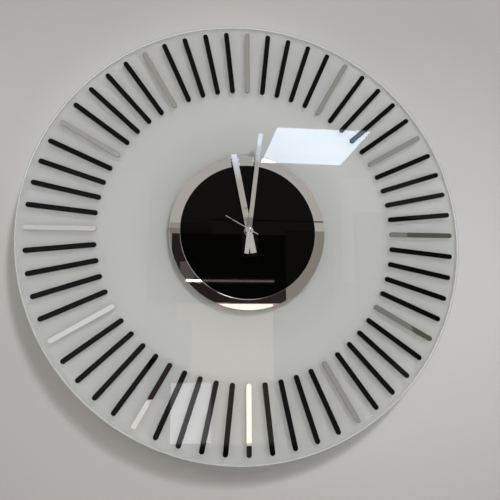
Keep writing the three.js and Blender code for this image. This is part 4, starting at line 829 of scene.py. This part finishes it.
# Room: a painted wall that shows from its front alone, a pale floor far below, plain cards that
# only reflections see, soft lamps and the camera. The bars don't shade three fifths of the key
# light, which stands in for the light that real glass bends round them.
def sheet(name, centre, width, height, facing, finish):
    """Flat sheet of the room."""
    body = bmesh.new()
    bmesh.ops.create_grid(body, x_segments=1, y_segments=1, size=0.5)
    bmesh.ops.scale(body, verts=body.verts, vec=(width, height, 1))
    turn = Vector(facing).to_track_quat("Z", "Y").to_matrix()
    bmesh.ops.rotate(body, verts=body.verts, matrix=turn)
    bmesh.ops.translate(body, verts=body.verts, vec=centre)
    mesh = bpy.data.meshes.new(name)
    body.to_mesh(mesh)
    body.free()
    mesh.materials.append(finish.material)
    made = bpy.data.objects.new(name, mesh)
    bpy.context.scene.collection.objects.link(made)
    return made


FAR = -3.6
TOWARDS = (0, 1, 0)
UPWARDS = (0, 0, 1)
DOWNWARDS = (0, 0, -1)
for name, centre, width, height, facing, tone, strength in (
        ("far_wall", (-0.6, FAR, -0.3), 3.0, 2.6, TOWARDS, (208, 207, 204), 1),
        ("far_wall_middle", (0.45, FAR + 0.005, 0.75), 1.6, 0.5, TOWARDS, (183, 177, 172), 1),
        ("far_wall_low", (0.55, FAR + 0.005, 0.2), 1.4, 0.62, TOWARDS, (180, 173, 167), 1),
        ("far_wall_right", (1.15, FAR + 0.004, -0.6), 1.0, 1.4, TOWARDS, (156, 154, 150), 1),
        ("far_wall_post", (0.965, FAR + 0.008, 0.21), 0.41, 0.62, TOWARDS, (140, 134, 126), 1),
        ("far_wall_side", (1.6, FAR + 0.006, 0.1), 0.5, 1.2, TOWARDS, (128, 127, 121), 1),
        ("far_wall_end", (2.6, FAR + 0.007, -0.3), 1.55, 1.9, TOWARDS, (88, 88, 76), 1),
        ("left_panel", (-0.95, FAR + 0.01, -0.35), 1.15, 0.75, TOWARDS, (224, 225, 223), 1),
        ("ceiling_left", (-1.3, -1.8, 1.0), 1.8, 3.6, DOWNWARDS, (170, 167, 163), 1),
        ("ceiling_middle", (0.05, -1.8, 1.001), 1.0, 3.6, DOWNWARDS, (160, 157, 152), 1),
        ("ceiling_right", (2.0, -1.8, 1.002), 3.0, 3.6, DOWNWARDS, (149, 148, 143), 1),
        ("ceiling_edge", (0.35, -3.38, 0.995), 1.9, 0.46, DOWNWARDS, (178, 174, 171), 1),
        ("far_floor", (0.5, -1.8, -1.6), 9, 3.6, UPWARDS, (120, 112, 106), 1),
        ("ceiling_light", (0.83, -2.90, 0.99), 0.63, 0.70, DOWNWARDS, (215, 234, 255), 12.2),
        ("dark_line", (0.62, FAR + 0.012, 0.60), 1.0, 0.012, TOWARDS, (60, 54, 52), 1),
        ("ceiling_glow_0", (0.289, -3.14, 0.99), 0.056, 0.10, DOWNWARDS, (229, 235, 255), 1.18),
        ("ceiling_glow_1", (0.306, -3.24, 0.99), 0.056, 0.10, DOWNWARDS, (225, 231, 249), 1.1),
        ("ceiling_glow_2", (0.325, -3.34, 0.99), 0.056, 0.10, DOWNWARDS, (220, 223, 238), 1),
        ("ceiling_glow_3", (0.341, -3.445, 0.99), 0.06, 0.11, DOWNWARDS, (213, 215, 228), 1),
        ("ceiling_glow_4", (0.356, -3.55, 0.99), 0.06, 0.10, DOWNWARDS, (205, 205, 213), 1),
        ("ceiling_glow_5", (0.433, -2.80, 0.99), 0.05, 0.24, DOWNWARDS, (229, 240, 255), 1.165),
        ("ceiling_glow_6", (0.452, -2.985, 0.99), 0.05, 0.14, DOWNWARDS, (213, 219, 238), 1),
        ("ceiling_glow_7", (0.468, -3.15, 0.99), 0.06, 0.19, DOWNWARDS, (199, 202, 213), 1),
        ("cornice", (0.370, FAR + 0.015, 0.972), 0.066, 0.04, TOWARDS, (196, 194, 196), 1),
        ("pale_picture", (0.4625, FAR + 0.015, 0.407), 0.13, 0.215, TOWARDS, (196, 193, 189), 1),
        # Painted shade: a dark card whose reflection darkens the minute hand next to the hub, for
        # the hub's shadow there.
        ("dark_switch", (0.461, FAR + 0.015, 0.58), 0.062, 0.078, TOWARDS, (122, 118, 120), 1),
        ("dark_hook", (0.433, FAR + 0.015, 0.697), 0.036, 0.012, TOWARDS, (100, 96, 92), 1),
        ("panel_shade_high", (-0.10, FAR + 0.009, 0.545), 0.50, 0.05, TOWARDS, (156, 149, 143), 1),
        ("panel_shade", (-0.10, FAR + 0.009, 0.50), 0.50, 0.05, TOWARDS, (130, 122, 116), 1),
        ("panel_side", (-0.26, FAR + 0.009, 0.20), 0.20, 0.58, TOWARDS, (142, 136, 130), 1),
        ("dark_panel", (0.295, FAR + 0.012, 0.20), 0.93, 0.56, TOWARDS, (40, 33, 31), 1),
        ("dark_rail", (0.52, FAR + 0.013, -0.02), 0.46, 0.13, TOWARDS, (48, 41, 39), 1),
        ("strip_glow", (-0.04, FAR + 0.014, 0.18), 0.12, 0.14, TOWARDS, (84, 77, 74), 1),
        ("ceiling_wash", (1.25, -0.62, 0.985), 2.4, 0.70, DOWNWARDS, (248, 250, 255), 1.7),
        ("bright_strip", (0.30, FAR + 0.02, 0.095), 0.72, 0.014, TOWARDS, (255, 238, 225), 12),
        ("pale_door", (0.325, FAR + 0.014, -0.625), 0.65, 1.07, TOWARDS, (255, 232, 218), 1.6),
        ("pale_door_head", (-0.06, FAR + 0.014, -0.155), 0.12, 0.13, TOWARDS, (255, 232, 218), 1.3),
        ("window", (0.0, FAR + 0.02, -0.925), 0.31, 0.45, TOWARDS, (250, 250, 255), 5),
        ("door_foot", (0.3, FAR + 0.011, -1.28), 1.5, 0.2, TOWARDS, (42, 37, 35), 1),
        ("dark_seat", (-0.23, FAR + 0.018, -0.665), 0.20, 0.31, TOWARDS, (50, 40, 38), 1),
        ("pale_seat", (-0.42, FAR + 0.018, -0.98), 0.20, 0.30, TOWARDS, (232, 229, 226), 1)):
    glow = Finish(name, {})
    glow.surface(glow.node("Emission", {}, {"Color": colour(*tone), "Strength": strength}))
    card = sheet(name, centre, width, height, facing, glow)
    card.visible_camera = card.visible_diffuse = False
    card.visible_shadow = card.visible_transmission = False


def grey(share):
    """Colour that lets a share of each part through."""
    return (share, share, share, 1)


# The wall's colour carries painted light: painted pools of light at the right and the left, painted
# falloff away from the clock, a painted glow round the rim at the upper left and a painted shadow
# under the rim.
wall_paint = Finish("wall_paint", {"Roughness": 0.8})
painted_light_right = spot(wall_paint, (1.8, 1, 2.3), (-0.8, 0, 0.7))
painted_light_left = spot(wall_paint, (2.5, 1, 3.0), (1.25, 0, 0.3))
lit_left_paint = wall_paint.blend(painted_light_left, colour(177, 174, 173), colour(191, 189, 188))
paint = wall_paint.blend(painted_light_right, lit_left_paint, colour(198, 198, 199))
middle = spot(wall_paint, (2, 0, 2), (0.02, 0, 0.46))
near_rim = spot(wall_paint, (2.67, 0, 2.67), (-0.011, 0, 0.558))
upper_left = spot(wall_paint, (1.8, 0, 1.8), (0.40, 0, -0.18))
under_rim = spot(wall_paint, (4.8, 0, 4.8), (0.11, 0, 2.54))
painted_falloff_far_out = wall_paint.blend(2.9 * middle, grey(0.87), WHITE)
painted_glow_round_rim = wall_paint.blend(10 * near_rim ** 2 * (0.19 + upper_left), WHITE, grey(1.85))
painted_shadow_under_rim = wall_paint.blend(30 * (near_rim - 0.11) * under_rim, WHITE, grey(0.78))
for shade in (painted_falloff_far_out, painted_glow_round_rim, painted_shadow_under_rim):
    paint = wall_paint.node("Mix", {"data_type": "RGBA", "blend_type": "MULTIPLY"}, {
        0: 1.0, 6: paint, 7: shade}, 2)
wall_paint.feed(wall_paint.shader, {"Base Color": paint})
wall_paint.relief(wall_paint.noise(260.0, 3.0), 0.0002, 0.5)
unseen = wall_paint.node("BsdfTransparent", {}, {"Color": WHITE})
behind = wall_paint.node("NewGeometry", {}, {}, "Backfacing")
painted = Wire(wall_paint, wall_paint.shader.outputs[0])
wall_paint.surface(wall_paint.node("MixShader", {}, {0: behind, 1: painted, 2: unseen}))
wall_gap = 0.0004
wall = sheet("wall", (0, wall_gap, 0), 12, 8, (0, -1, 0), wall_paint)
wall.visible_shadow = wall.visible_glossy = False
floor_paint = Finish("floor_paint", {"Base Color": colour(214, 212, 208), "Roughness": 0.7})
floor_height = -1.62
sheet("floor", (0, 0, floor_height), 14, 14, UPWARDS, floor_paint)

world = bpy.data.worlds.new("studio")
bpy.context.scene.world = world
world.use_nodes = True
air = Shading(world.node_tree)
background = air.tree.nodes["Background"]
air.feed(background, {"Color": colour(255, 249, 243), "Strength": 0.40})
light = Wire(air, background.outputs[0])
backdrop = air.node("Background", {}, {"Color": colour(226, 225, 223), "Strength": 1.0})
seen = air.node("LightPath", {}, {}, "Is Camera Ray")
for ray in ("Is Glossy Ray", "Is Transmission Ray"):
    seen = seen.math("MAXIMUM", seen, air.node("LightPath", {}, {}, ray))
air.surface(air.node("MixShader", {}, {0: seen, 1: light, 2: backdrop}), "World Output")


def lamp(name, place, width, power, tone=(1, 1, 1)):
    """Square soft lamp that shines at the shaft and isn't seen in reflections."""
    data = bpy.data.lights.new(name, "AREA")
    data.shape = "RECTANGLE"
    data.size = width
    data.size_y = width
    data.energy = power
    data.color = tone
    made = bpy.data.objects.new(name, data)
    made.location = place
    made.rotation_mode = "QUATERNION"
    made.rotation_quaternion = (shaft - Vector(place)).to_track_quat("-Z", "Y")
    bpy.context.scene.collection.objects.link(made)
    made.visible_glossy = False
    return made


key_place = (2.45, -4.7, 4.75)
key_width = 0.75
key_tone = (0.975, 0.99, 1)
lamp("key", key_place, key_width, 130, key_tone)
key_spread = lamp("key_spread", key_place, key_width, 195, key_tone)
past_bars = bpy.data.collections.new("past_bars")
for made in bpy.data.objects:
    if made.name == "minute_bars" or made.name.startswith("mirror_bar_"):
        past_bars.objects.link(made)
for linked in past_bars.collection_objects:
    linked.light_linking.link_state = "EXCLUDE"
key_spread.light_linking.blocker_collection = past_bars
lamp("right", (2.3, -1.4, -1.0), 1.6, 15)
lamp("left", (-2.2, -1.4, -0.7), 1.6, 8)
lamp("rear_left", (-1.6, 2.4, 1.2), 1.2, 45)
lamp("rear_right", (1.8, 2.2, 0.4), 1.2, 26)

camera = bpy.data.cameras.new("camera")
camera.sensor_width = 36
camera.lens = 38.17
camera.clip_start = 0.01
camera.clip_end = 50
looking = Vector((0.12736, 0.97840, 0.16286))
right = Vector((0.99173, -0.12825, -0.00506))
down = Vector((0.01594, 0.16216, -0.98664))
turn = Matrix((right, -down, -looking)).transposed().to_4x4()
eye = (-0.0877, -0.7218, -0.3550)
viewer = bpy.data.objects.new("camera", camera)
viewer.matrix_world = Matrix.Translation(eye) @ turn
bpy.context.scene.collection.objects.link(viewer)
bpy.context.scene.camera = viewer
bpy.context.scene.view_settings.view_transform = "Standard"
